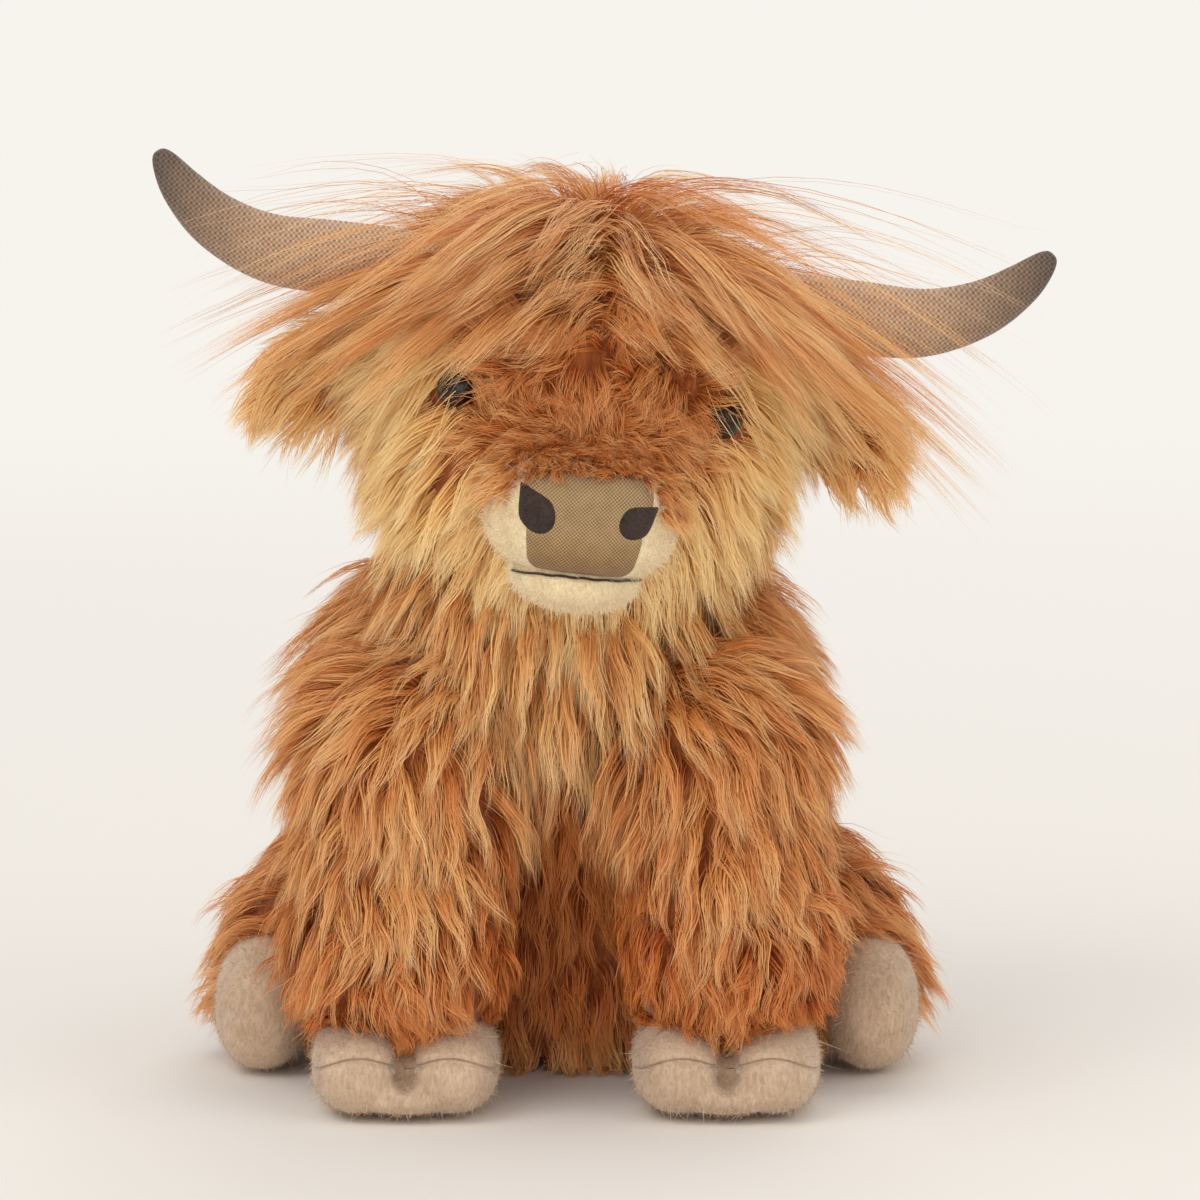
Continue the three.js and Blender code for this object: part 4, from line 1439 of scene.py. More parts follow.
@dataclass
class Head:
    """The head, in its own frame at the middle of the neck, with hair that parts on its crown."""

    heights: Sequence[float] = (-8, 24, 56, 92, 125)
    backs: Sequence[float] = (-14, -12, -4, 2, 2)
    half_widths: Sequence[float] = (46, 58, 65, 66, 40)
    half_depths: Sequence[float] = (44, 56, 60, 62, 38)
    inset: float = 5.0
    parting: Sequence[float] = (0.0, 4.0, 134.0)
    eyes: tuple[float, float] = (43.0, 65.0)
    fringe_turns: Sequence[float] = (0, 22, 42, 58, 72, 100)
    fringe_outs: Sequence[float] = (14, 40, 72, 98, 113, 116)
    fringe_backs: Sequence[float] = (-62, -61, -46, -30, -22, -12)
    fringe_heights: Sequence[float] = (78, 70, 48, 50, 66, 74)
    eye_covers: tuple[float, float] = (0.34, 0.06)
    loose_hairs: float = 0.25
    nose_spots: Sequence[BareSpot] = (
        BareSpot((0, -92, 33), (20.5, 24, 15.5), 0.0),
        BareSpot((0, -88, 23), (29, 26, 18), 0.01),
    )
    horn_spots: Sequence[BareSpot] = (
        BareSpot((-103, -30, 113), (40, 70, 25), 0.08),
        BareSpot((114, -30, 113), (40, 70, 25), 0.08),
    )
    skin: Surface | None = None

    def cover(self, shell: Shell) -> None:
        """Sews the fur cloth of the head.

        Args:
            shell: Takes the skin for the fur to lie on.
        """
        path = path_through(0, self.backs, self.heights)
        sizes = (self.half_widths, self.half_depths)
        form = Swell(path, *sizes, start_full=3, end_full=2.4, sides=72, rings=60)
        self.skin = form.surface(-self.inset)
        placed = self.skin.moved(HEAD, NECK)
        shell.add("head", placed)
        add_piece("head_cloth", placed, FUR_CLOTH, "head", "orange_fur", ["head_fur_skin"])

    def comb(self, roots: Roots) -> Combed:
        """Hair that rays out from the muzzle over the cheeks and hangs at the beard and the nape.

        Args:
            roots: The pile's roots.

        Returns:
            How the pile lies.
        """
        x, y, z = roots.places.T
        count = len(x)
        jaw = ramp(26, 8, z)
        back = ramp(5, 30, y) * (1 - jaw)
        rest = 1 - jaw - back
        front = ramp(-5, -30, y)
        wander = swirls(roots.places, 9.0)
        cheek = np.stack([x * 0.018, (y + 40) * 0.012, (z - 48) * 0.008 - 0.85], 1) + 0.2 * wander
        beard = np.stack([x * 0.006, np.full(count, -0.2), np.full(count, -1.0)], 1) + 0.16 * wander
        nape = np.stack([x * 0.012, np.full(count, 0.25), np.full(count, -1.0)], 1)
        direction = sum(share[:, None] * way for share, way in ((jaw, beard), (back, nape), (rest, cheek)))
        length = jaw * 42 + back * 34 + rest * (30 + 10 * ramp(62, 76, z))
        eye = np.hypot(np.abs(x) - self.eyes[0], z - self.eyes[1])
        temple = ramp(22, 36, np.abs(x)) * ramp(-24, -12, y)
        hanging = np.stack([np.sign(x) * 0.35, (y - 6) * 0.022, np.full(count, -1.0)], 1) + 0.25 * wander
        high = (z > 91) & (y < 36)
        direction = np.where(high[:, None], hanging, direction)
        length = np.where(high, 25 * (temple > 0.3), length)
        length = np.where(self.on_brow(roots) | ((eye < 7) & (y < 0)), 0, length)
        tone = 0.70 + 0.22 * jaw * front + 0.34 * rest * front - 0.1 * back
        return combed(direction, length, lift=0.22, stand=5.5, tone=tone, wave=1.5)

    def on_brow(self, roots: Roots) -> Array:
        """Which roots lie on the brow, between the eyes and over the nose."""
        x, y, z = roots.places.T
        return (np.abs(x) < 37) & (z > 48) & (z < 93) & (y < -20)

    def brow(self, roots: Roots) -> Combed:
        """Short bright curls that run every way over the brow.

        Args:
            roots: The pile's roots.

        Returns:
            How the pile lies.
        """
        x, _, z = roots.places.T
        away = np.stack([x * 0.022, np.full(len(x), -0.3), -0.15 - 0.5 * ramp(66, 52, z)], 1)
        tone = 0.26 + 0.22 * ramp(62, 50, z) + 0.2 * ramp(20, 36, np.abs(x))
        length = (15 + 3 * ramp(60, 80, z)) * self.on_brow(roots)
        direction = swirls(roots.places, 7.5) * 0.9 + away
        return combed(direction, length, lift=0.62, stand=3.4, tone=tone, wave=2.2)

    def fringe(self, roots: Roots) -> Combed:
        """Long smooth hair that fans from the parting to the fringe's edge, past the horns.

        Args:
            roots: The pile's roots.

        Returns:
            How the pile lies.
        """
        x, y, z = roots.places.T
        turn = np.degrees(np.arctan2(np.abs(x), self.parting[1] - y))
        edge = (self.fringe_outs, self.fringe_backs, self.fringe_heights)
        out, back, height = (np.interp(turn, self.fringe_turns, values) for values in edge)
        leaning = x + 9 * np.sin(40 * x + 57 * z)
        way = np.stack([np.where(leaning < 0, -out, out), back, height], 1) - roots.places
        behind = ramp(100, 118, turn)
        ray = unit(roots.places - np.array(self.parting))
        direction = unit(way) * (1 - behind)[:, None] + ray * behind[:, None]
        length = np.linalg.norm(way, axis=1) * 1.24 * (1 - behind) + 46 * behind
        length *= ramp(88, 94, z) * ramp(48, 40, y)
        length *= 1 + 0.22 * np.sin(31 * x + 47 * z)
        top = ramp(98, 116, z)
        tone = 0.50 + 0.16 * ramp(40, 75, np.abs(x)) - 0.12 * ramp(10, 40, y)
        direction = direction + 0.14 * swirls(roots.places, 9.0)
        return combed(direction, length, lift=0.25 + 0.6 * top, stand=6 + 9 * top, tone=tone, wave=0.9)

    def tufts(self, roots: Roots) -> Combed:
        """Pointed locks that stand off the crown.

        Args:
            roots: The pile's roots.

        Returns:
            How the pile lies.
        """
        x, y, z = roots.places.T
        away = unit(np.stack([x + 5 * np.sin(37 * y), y - self.parting[1], np.zeros(len(x))], 1))
        direction = away + np.array([0, 0, 0.55]) + 0.35 * swirls(roots.places, 5.0)
        length = (30 + 9 * np.sin(53 * x + 29 * y)) * (z > 103) * (y < 26)
        return combed(direction, length, lift=0.9, stand=13.0, tone=0.84, wave=1.0)

    def wisps(self, roots: Roots) -> Combed:
        """A few long single hairs from the parting that cross the forehead and the sides.

        Args:
            roots: The pile's roots.

        Returns:
            How the pile lies.
        """
        comb = self.fringe(roots)
        comb.length = np.where((roots.places[:, 2] > 106) & (roots.places[:, 1] < 8), comb.length + 20, 0.0)
        comb.direction = comb.direction + 0.3 * swirls(roots.places, 4.0)
        comb.stand = comb.stand + 3
        return comb

    def grow(self, shell: Shell) -> None:
        """Grows the head's hair and the fringe.

        Args:
            shell: All the skins that the hair lies on.
        """
        hair = Coat(
            "head_hair", "head", "golden_fur", self.skin, self.comb, per_cm2=5.4, seed=12,
            strands=24, spread=4.4, width=0.29, droop=0.10, ruffle=0.2, cling=0.26, start=0.36,
            finish=GOLDEN_FUR, bare=self.bare_spots(0.0), turn=HEAD, shift=NECK,
        )
        curls = replace(
            hair, name="brow_fur", comb=self.brow, per_cm2=15, seed=14, pile=Pile.CURLY, finish=FUR,
            strands=14, spread=2.8, width=0.26, droop=0.05, ruffle=0.3, start=0.12,
        )
        fringe = replace(
            hair, name="fringe_hair", comb=self.fringe, per_cm2=4.4, seed=13, pile=Pile.FLOWING, finish=FUR,
            strands=32, spread=5.2, width=0.24, droop=0.03, ruffle=0.17, cling=0.42, start=0.32, settle=1.0,
            vary=0.2, bare=[*self.bare_spots(self.loose_hairs), *self.horn_spots],
        )
        wisps = replace(
            fringe, name="fringe_wisps", comb=self.wisps, per_cm2=2.4, seed=15, strands=5, width=0.2
        )
        tufts = replace(
            fringe, name="crown_tufts", comb=self.tufts, per_cm2=1.5, seed=16, pile=Pile.LONG, strands=13,
            spread=3.2, width=0.22, droop=0.1, ruffle=0.4, cling=0.1, start=0.4, settle=0.0,
        )
        for coat in (hair, curls, replace(fringe, replaces=["forelock_patch"]), wisps, tufts):
            coat.build(shell)

    def bare_spots(self, more: float) -> list[BareSpot]:
        """The spots round the eyes and the nose.

        Args:
            more: The share of strands that cross an eye on top of its own share.

        Returns:
            The spots in the head's frame.
        """
        out, height = self.eyes
        eyes = [
            BareSpot((side.value * out, -60, height), (5.5, 40, 5.5), share + more)
            for side, share in zip(Side, self.eye_covers, strict=True)
        ]
        return [*eyes, *self.nose_spots]


@dataclass(frozen=True)
class Cushion:
    """A stuffed form that runs forwards from the face, with its sizes at the stations of its path."""

    run: Sequence[float]
    heights: Sequence[float]
    half_widths: Sequence[float]
    half_heights: Sequence[float]
    full: float
    square: float
    inset: float = 1.4

    def surface(self) -> Surface:
        """The surface in the head's frame, pressed in by the pile's depth.

        Returns:
            The surface.
        """
        path = path_through(0, self.run, self.heights)
        ends = {"start_full": self.full, "end_full": self.full, "square": self.square}
        form = Swell(path, self.half_widths, self.half_heights, **ends, sides=96, rings=72)
        return form.surface(-self.inset)


@dataclass
class Face:
    """The cream muzzle and chin, the knitted nose with its nostrils, the mouth and the eyes."""

    muzzle_form: Cushion = Cushion(
        run=(-38, -65.5, -93), heights=(34, 33.2, 32.5),
        half_widths=(30, 31, 27), half_heights=(20, 21, 19), full=3, square=2.5,
    )
    chin_form: Cushion = Cushion(
        run=(-46, -67, -88), heights=(16, 15, 13.5),
        half_widths=(20, 22, 16), half_heights=(9.5, 12.5, 10.5), full=2.4, square=2.2,
    )
    nose_widths: tuple[float, float] = (32, 44)
    nose_heights: tuple[float, float] = (17.6, 50.0)
    nose_corners: tuple[float, float] = (4.5, 9.0)
    nostril: tuple[float, float, float] = (5.4, 7.0, 15.4)
    nostril_height: float = 36.2
    nostril_leans: tuple[float, float] = (34, 52)
    nose_spot: BareSpot = BareSpot((0, -92, 33), (20, 24, 14.5), 0.0)
    eye_radius: float = 7.0
    eye_height_share: float = 0.86
    eye_turn: float = 36.0
    mouth_ends: tuple[float, float] = (-19.5, 20.0)
    mouth_height: float = 17.0
    thread: float = 0.42
    muzzle: Surface | None = None
    chin: Surface | None = None

    def cover(self, shell: Shell) -> None:
        """Sews the muzzle and the chin.

        Args:
            shell: Takes their skins for the fur to lie on.
        """
        self.muzzle, self.chin = self.muzzle_form.surface(), self.chin_form.surface()
        for name, surface in (("muzzle", self.muzzle), ("chin", self.chin)):
            placed, cover = surface.moved(HEAD, NECK), f"{name}_cover"
            shell.add("head", placed)
            add_piece(f"{name}_plush", placed, CREAM_PLUSH, "head", "cream_plush", [cover])

    def raised(self, x: Array, z: Array, height: Array, surface: Surface | None = None) -> Array:
        """Points raised over the muzzle's front, along its own outward direction.

        Args:
            x: How far out each place lies, as seen from the front.
            z: Its height.
            height: How far to raise it.
            surface: What to raise it from, where that isn't the muzzle alone.

        Returns:
            The points in the head's frame.
        """
        tree = (surface or self.muzzle).tree()
        base = np.empty((len(x), 3))
        for i, (across, up) in enumerate(zip(x, z, strict=True)):
            hit = tree.ray_cast(Vector((across, IN_FRONT, up)), Vector(BACKWARDS))[0]
            base[i] = hit if hit is not None else tree.find_nearest(Vector((across, -84, up)))[0]
        facing = unit(base - np.array([0, -60, 34]))
        facing = unit(facing * np.array([0.8, 1.6, 0.8]))
        return base + facing * height[:, None]

    def dent(self, x: Array, z: Array) -> Array:
        """How deep the nostrils press the nose in.

        Args:
            x: How far out each place lies.
            z: Its height.

        Returns:
            The depth at each place.
        """
        wide, tall, spread = self.nostril
        away = np.hypot((np.abs(x) - spread) / wide, (z - self.nostril_height) / tall)
        return 1.5 * np.exp(-((away / 0.9) ** 2))

    def nose(self) -> Surface:
        """The knitted nose: a rounded panel, narrower at its bottom, with soft edges.

        Returns:
            The panel in the head's frame.
        """
        count = 90
        rows, columns = np.linspace(0, 1, count), np.linspace(-1, 1, count)
        low, high = self.nose_heights
        z = low + (high - low) * rows
        half = (self.nose_widths[0] + (self.nose_widths[1] - self.nose_widths[0]) * rows) / 2
        for corner, from_edge in zip(self.nose_corners, (z - low, high - z), strict=True):
            near = np.clip(corner - from_edge, 0, corner)
            half = half - (corner - np.sqrt(corner**2 - near**2))
        x = half[:, None] * columns
        z = np.repeat(z[:, None], count, 1)
        edge = np.minimum(half[:, None] - np.abs(x), np.minimum(z - low, high - z))
        lift = 1.7 * np.sqrt(1 - (1 - np.clip(edge / 3.0, 0, 1)) ** 2) - 0.5 - self.dent(x, z)
        points = self.raised(x.ravel(), z.ravel(), lift.ravel())
        index = np.arange(count * count).reshape(count, count)
        quads = np.stack([index[:-1, :-1], index[:-1, 1:], index[1:, 1:], index[1:, :-1]], -1)
        uv = np.stack([x.ravel() / self.nose_widths[1] + 0.5, (z.ravel() - low) / (high - low)], 1)
        return Surface(points, [quads.reshape(-1, 4)], uv)

    def nostril_patch(self, side: Side) -> Surface:
        """A dark teardrop pressed into the nose.

        Args:
            side: The side that it is on.

        Returns:
            The patch in the head's frame.
        """
        wide, tall, spread = self.nostril
        rings, sides = 14, 40
        share, angle = np.arange(1, rings + 1) / rings, turns(sides)
        if side is Side.LEFT:
            wide, tall = wide * 0.92, tall * 0.84
        lean = math.radians(self.nostril_leans[side is Side.LEFT]) * side.value
        point = np.clip(np.sin(angle), 0, 1) ** 1.6
        across = wide * np.cos(angle) * (1 - 0.72 * point)
        height = tall * (np.sin(angle) + 0.28 * point)
        x = np.concatenate([[0], (share[:, None] * across).ravel()])
        z = np.concatenate([[0], (share[:, None] * height).ravel()])
        turned_x = x * math.cos(lean) + z * math.sin(lean)
        turned_z = z * math.cos(lean) - x * math.sin(lean)
        place_x, place_z = side.value * spread + turned_x, self.nostril_height + turned_z
        edge = np.concatenate([[0], np.repeat(share, sides)])
        lift = 1.6 - self.dent(place_x, place_z) - 0.4 * edge**6
        return Surface(self.raised(place_x, place_z, lift), disc_faces(sides, rings)).flipped()

    def mouth(self) -> Surface:
        """A thread that sags a little between the muzzle and the chin.

        Returns:
            The thread in the head's frame.
        """
        x = np.linspace(*self.mouth_ends, 70)
        sag = np.where(x < 0, 2.4, 0.8) * (x / 20) ** 2
        z = self.mouth_height - sag + 0.15 * np.sin(x * 0.9)
        whole = joined(replace(self.nose(), uv=None), self.muzzle, self.chin)
        line = smoothed(self.raised(x, z, np.full(len(x), 0.3), whole), 6)
        line[:, 1] -= 0.7
        return tube(line, self.thread, 10)

    def eye(self, side: Side) -> Surface:
        """A glossy dome with a rounded rim, turned outwards where its shank meets the head.

        Args:
            side: The side that it is on.

        Returns:
            The dome in the toy frame.
        """
        low, high = (np.array(corner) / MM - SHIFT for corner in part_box(f"eye_{side.label}"))
        turn = math.radians(self.eye_turn)
        facing = HEAD @ unit(np.array([side.value * math.sin(turn), -math.cos(turn), 0]))
        radius, sides, rings = self.eye_radius, 48, 20
        bend = np.arange(1, rings + 1) / rings * np.pi * 0.56
        out, rise = radius * np.sin(bend), radius * self.eye_height_share * np.cos(bend)
        angle = turns(sides)
        beside = unit(np.cross(facing, UPWARDS))
        above = np.cross(beside, facing)
        ring = beside * np.cos(angle)[:, None] + above * np.sin(angle)[:, None]
        grid = ring[None] * out[:, None, None] + facing * rise[:, None, None]
        top, bottom = facing * radius * self.eye_height_share, facing * -radius * 0.3
        points = np.concatenate([[top], grid.reshape(-1, 3), [bottom]])
        return Surface(points + (low + high) / 2 + facing * 0.4, closed_faces(sides, rings)).flipped()

    def dress(self) -> None:
        """Adds the nose, the nostrils, the mouth and the eyes."""
        nose, mouth = (surface.moved(HEAD, NECK) for surface in (self.nose(), self.mouth()))
        add_piece("nose_knit_panel", nose, NOSE_KNIT, "head", "nose_knit", ["nose_patch"])
        add_piece("mouth_thread", mouth, DARK_CLOTH, "head", "dark_thread", ["mouth_stitch"])
        for side in Side:
            name, eye = side.label, self.eye(side)
            dark = self.nostril_patch(side).moved(HEAD, NECK)
            add_piece(f"nostril_dark_{name}", dark, DARK_CLOTH, "head", "dark_thread", [f"nostril_{name}"])
            add_piece(f"eye_dome_{name}", eye, EYE_PLASTIC, "head", "eye_plastic", [f"eye_{name}"])

    def comb(self, roots: Roots) -> Combed:
        """Short plush that lies away from the nose.

        Args:
            roots: The pile's roots.

        Returns:
            How the pile lies.
        """
        x, y, z = roots.places.T
        low, high = self.nose_heights
        nose = (np.abs(x) < 18 + (z - low) * 0.13) & (z > low) & (z < high) & (y < -70)
        length = np.where(nose | (y > -50) | (z > 46.5), 0.0, 2.0)
        away = np.stack([x * 0.03, np.full(len(x), 0.7), (z - 34) * 0.03], 1)
        return combed(away, length, lift=0.9, stand=1.0, tone=0.55, wave=0.0)

    def bridge(self, roots: Roots) -> Combed:
        """Fur that curls over the muzzle's top and hugs its upper sides.

        Args:
            roots: The pile's roots.

        Returns:
            How the pile lies.
        """
        x, y, z = roots.places.T
        count = len(x)
        side = ramp(18, 26, np.abs(x))
        over = np.stack([x * 0.02, np.full(count, -0.7), np.full(count, -0.35)], 1)
        over = swirls(roots.places, 8.0) * 0.6 + over
        beside = np.stack([x * 0.03, np.full(count, 0.1), np.full(count, -1.0)], 1)
        direction = over * (1 - side)[:, None] + beside * side[:, None]
        grown = ((z > 47.5) & (y > -88)) | ((z > 50) & (y > -93)) | ((np.abs(x) > 16) & (z > 46))
        grown |= (np.abs(x) > 21.5) & (z > 39) & (y > -90)
        length = (11 + 2 * side) * grown
        return combed(direction, length, lift=0.5 - 0.2 * side, stand=2.6, tone=0.34 + 0.4 * side, wave=1.6)

    def grow(self, shell: Shell) -> None:
        """Grows the short plush of the muzzle and the chin, and the fur on the muzzle's top.

        Args:
            shell: All the skins that the hair lies on.
        """
        for name, skin, seed in (("muzzle_nap", self.muzzle, 21), ("chin_nap", self.chin, 22)):
            Coat(
                name, "head", "cream_plush", skin, self.comb, per_cm2=300, seed=seed, finish=CREAM_PILE,
                turn=HEAD, shift=NECK, **SHORT_PILE,
            ).build(shell)
        Coat(
            "muzzle_fur", "head", "golden_fur", self.muzzle, self.bridge, per_cm2=32.0, seed=23,
            pile=Pile.CURLY, strands=12, spread=2.2, width=0.26, droop=0.06, ruffle=0.35, cling=0.3,
            bare=[self.nose_spot], turn=HEAD, shift=NECK,
        ).build(shell)


def tube(line: Array, radius: float, sides: int) -> Surface:
    """A round thread along a line, closed at both ends.

    Args:
        line: The thread's middle line.
        radius: Half its thickness.
        sides: The number of its sides.

    Returns:
        The thread's surface.
    """
    along = unit(np.gradient(line, axis=0))
    beside = unit(np.cross(along, BACKWARDS))
    above = np.cross(along, beside)
    angle = turns(sides)
    ring = beside[:, None] * np.cos(angle)[:, None] + above[:, None] * np.sin(angle)[:, None]
    grid = line[:, None] + radius * ring
    start, end = line[:1] - along[:1] * radius, line[-1:] + along[-1:] * radius
    return Surface(np.concatenate([start, grid.reshape(-1, 3), end]), closed_faces(sides, len(line)))


@dataclass
class Horn:
    """A stuffed horn in a knitted cover with level rows, which darkens towards its tip."""

    side: Side
    outs: Sequence[float] = (50, 82, 102, 119, 132, 141)
    backs: Sequence[float] = (2, 0, -2, -4, -5, -6)
    heights: Sequence[float] = (95, 95.5, 96, 102.5, 112, 123)
    radii: Sequence[float] = (12.6, 12, 10.8, 8.8, 7, 5.6)
    gather: float = 0.3
    map_heights: tuple[float, float] = (78, 130)

    def cover(self, shell: Shell) -> None:
        """Knits the horn's cover.

        Args:
            shell: Takes the horn for the hair to lie on.
        """
        sign, name = self.side.value, self.side.label
        path = path_through(sign * np.array(self.outs), self.backs, self.heights)
        form = Swell(path, self.radii, self.radii, BACKWARDS, start_full=6, end_full=3, sides=64, rings=130)
        plain = form.surface()
        rings = plain.points[1:-1].reshape(-1, form.sides, 3)
        middle = rings.mean(1)
        run = np.concatenate([[0], np.cumsum(np.linalg.norm(np.diff(middle, axis=0), axis=1))])
        angle = turns(form.sides)
        wander = np.sin(run / 6.5)[:, None] * np.cos(angle * 3 + sign)
        wander = wander + np.sin(run / 17.0)[:, None] * np.cos(angle * 2)
        out = unit(rings - middle[:, None])
        shrink = np.minimum(1, np.linalg.norm(rings - middle[:, None], axis=-1) / 4.0)
        rings = rings + out * (self.gather * wander * shrink)[..., None]
        points = np.concatenate([plain.points[:1], rings.reshape(-1, 3), plain.points[-1:]])
        across = (points[:, 2] - self.map_heights[0]) / (self.map_heights[1] - self.map_heights[0])
        along = (np.abs(points[:, 0]) - self.outs[0]) / (self.outs[-1] - self.outs[0])
        uv = np.clip(np.stack([across, along], 1), 0.001, 0.999)
        placed = Surface(points, plain.faces, uv).moved(HEAD, NECK)
        body = f"horn_{name}"
        shell.add(body, plain.moved(HEAD, NECK))
        replaced = [f"horn_cover_{name}"]
        add_piece(f"horn_knitting_{name}", placed, HORN_KNIT, body, "horn_knit", replaced)


@dataclass
class Ear:
    """A floppy ear under the fringe, with long hair along it."""

    side: Side
    outs: Sequence[float] = (62, 74, 87, 99)
    backs: Sequence[float] = (6, 5, 3, 0)
    heights: Sequence[float] = (64, 62, 56, 47)
    half_heights: Sequence[float] = (9, 14, 16, 11)
    half_thicknesses: Sequence[float] = (7, 7, 6, 4)
    skin: Surface | None = None

    def cover(self, shell: Shell) -> None:
        """Sews the ear.

        Args:
            shell: Takes its skin for the hair to lie on.
        """
        sign, name = self.side.value, self.side.label
        path = path_through(sign * np.array(self.outs), self.backs, self.heights)
        form = Swell(path, self.half_heights, self.half_thicknesses, UPWARDS, start_full=3, end_full=2.4)
        self.skin = form.surface(-1.5)
        placed = self.skin.moved(HEAD, NECK)
        shell.add(f"ear_{name}", placed)
        body = node = f"ear_{name}"
        add_piece(f"ear_cloth_{name}", placed, FUR_CLOTH, body, "golden_fur", [node])

    def comb(self, roots: Roots) -> Combed:
        """Hair along the ear that hangs past its end.

        Args:
            roots: The pile's roots.

        Returns:
            How the pile lies.
        """
        x, y, z = roots.places.T
        outwards = np.full(len(x), float(self.side.value))
        direction = np.stack([outwards, (y - 3) * 0.03, (z - 58) * 0.04 - 0.55], 1)
        length = 24 - 6 * ramp(85, 99, np.abs(x))
        # The toy's left ear is darker than the right: painted shade of the side away from the key light
        tone = 0.84 if self.side is Side.RIGHT else 0.76
        return combed(direction, length, lift=0.3, stand=4.5, tone=tone, wave=1.4)

    def grow(self, shell: Shell) -> None:
        """Grows the ear's hair.

        Args:
            shell: All the skins that the hair lies on.
        """
        name, seed = self.side.label, 30 + self.side.value
        Coat(
            f"ear_hair_{name}", f"ear_{name}", "golden_fur", self.skin, self.comb, per_cm2=5.0, seed=seed,
            finish=GOLDEN_FUR, start=0.2, turn=HEAD, shift=NECK,
        ).build(shell)


@dataclass
class Leg(ABC):
    """What the front and the rear legs have alike: the pieces of their skins, and what grows on them."""

    side: Side
    kind: str
    seed: int
    bare: Sequence[BareSpot] = ()
    skin: Surface | None = None
    hoof: Surface | None = None

    @property
    def body(self) -> str:
        """The body that carries the leg."""
        return f"{self.kind}_leg_{self.side.label}"

    @abstractmethod
    def comb(self, roots: Roots) -> Combed:
        """How the leg's fur lies at its roots."""

    @abstractmethod
    def nap(self, roots: Roots) -> Combed:
        """How the hoof's plush lies at its roots."""

    def dress(self, shell: Shell) -> None:
        """Adds the leg's fur cloth and its hoof.

        Args:
            shell: Takes their skins for the fur to lie on.
        """
        name, leg, hoof = self.side.label, f"{self.kind}_leg", f"{self.kind}_hoof"
        for skin in (self.skin, self.hoof):
            shell.add(self.body, skin)
        cloth, plush = f"{leg}_cloth_{name}", f"{hoof}_plush_{name}"
        add_piece(cloth, self.skin, FUR_CLOTH, self.body, "orange_fur", [f"{leg}_fur_{name}"])
        add_piece(plush, self.hoof, BEIGE_PLUSH, self.body, "beige_plush", [f"{hoof}_{name}"])

    def grow(self, shell: Shell) -> None:
        """Grows the leg's fur and the hoof's plush.

        Args:
            shell: All the skins that the hair lies on.
        """
        name, body, seed = self.side.label, self.body, self.seed + self.side.value
        Coat(
            f"{self.kind}_leg_fur_{name}", body, "orange_fur", self.skin, self.comb, per_cm2=4.8, seed=seed,
            bare=self.bare,
        ).build(shell)
        Coat(
            f"{self.kind}_hoof_nap_{name}", body, "beige_plush", self.hoof, self.nap, per_cm2=260,
            seed=seed + 5, finish=BEIGE_PILE, **SHORT_PILE,
        ).build(shell)


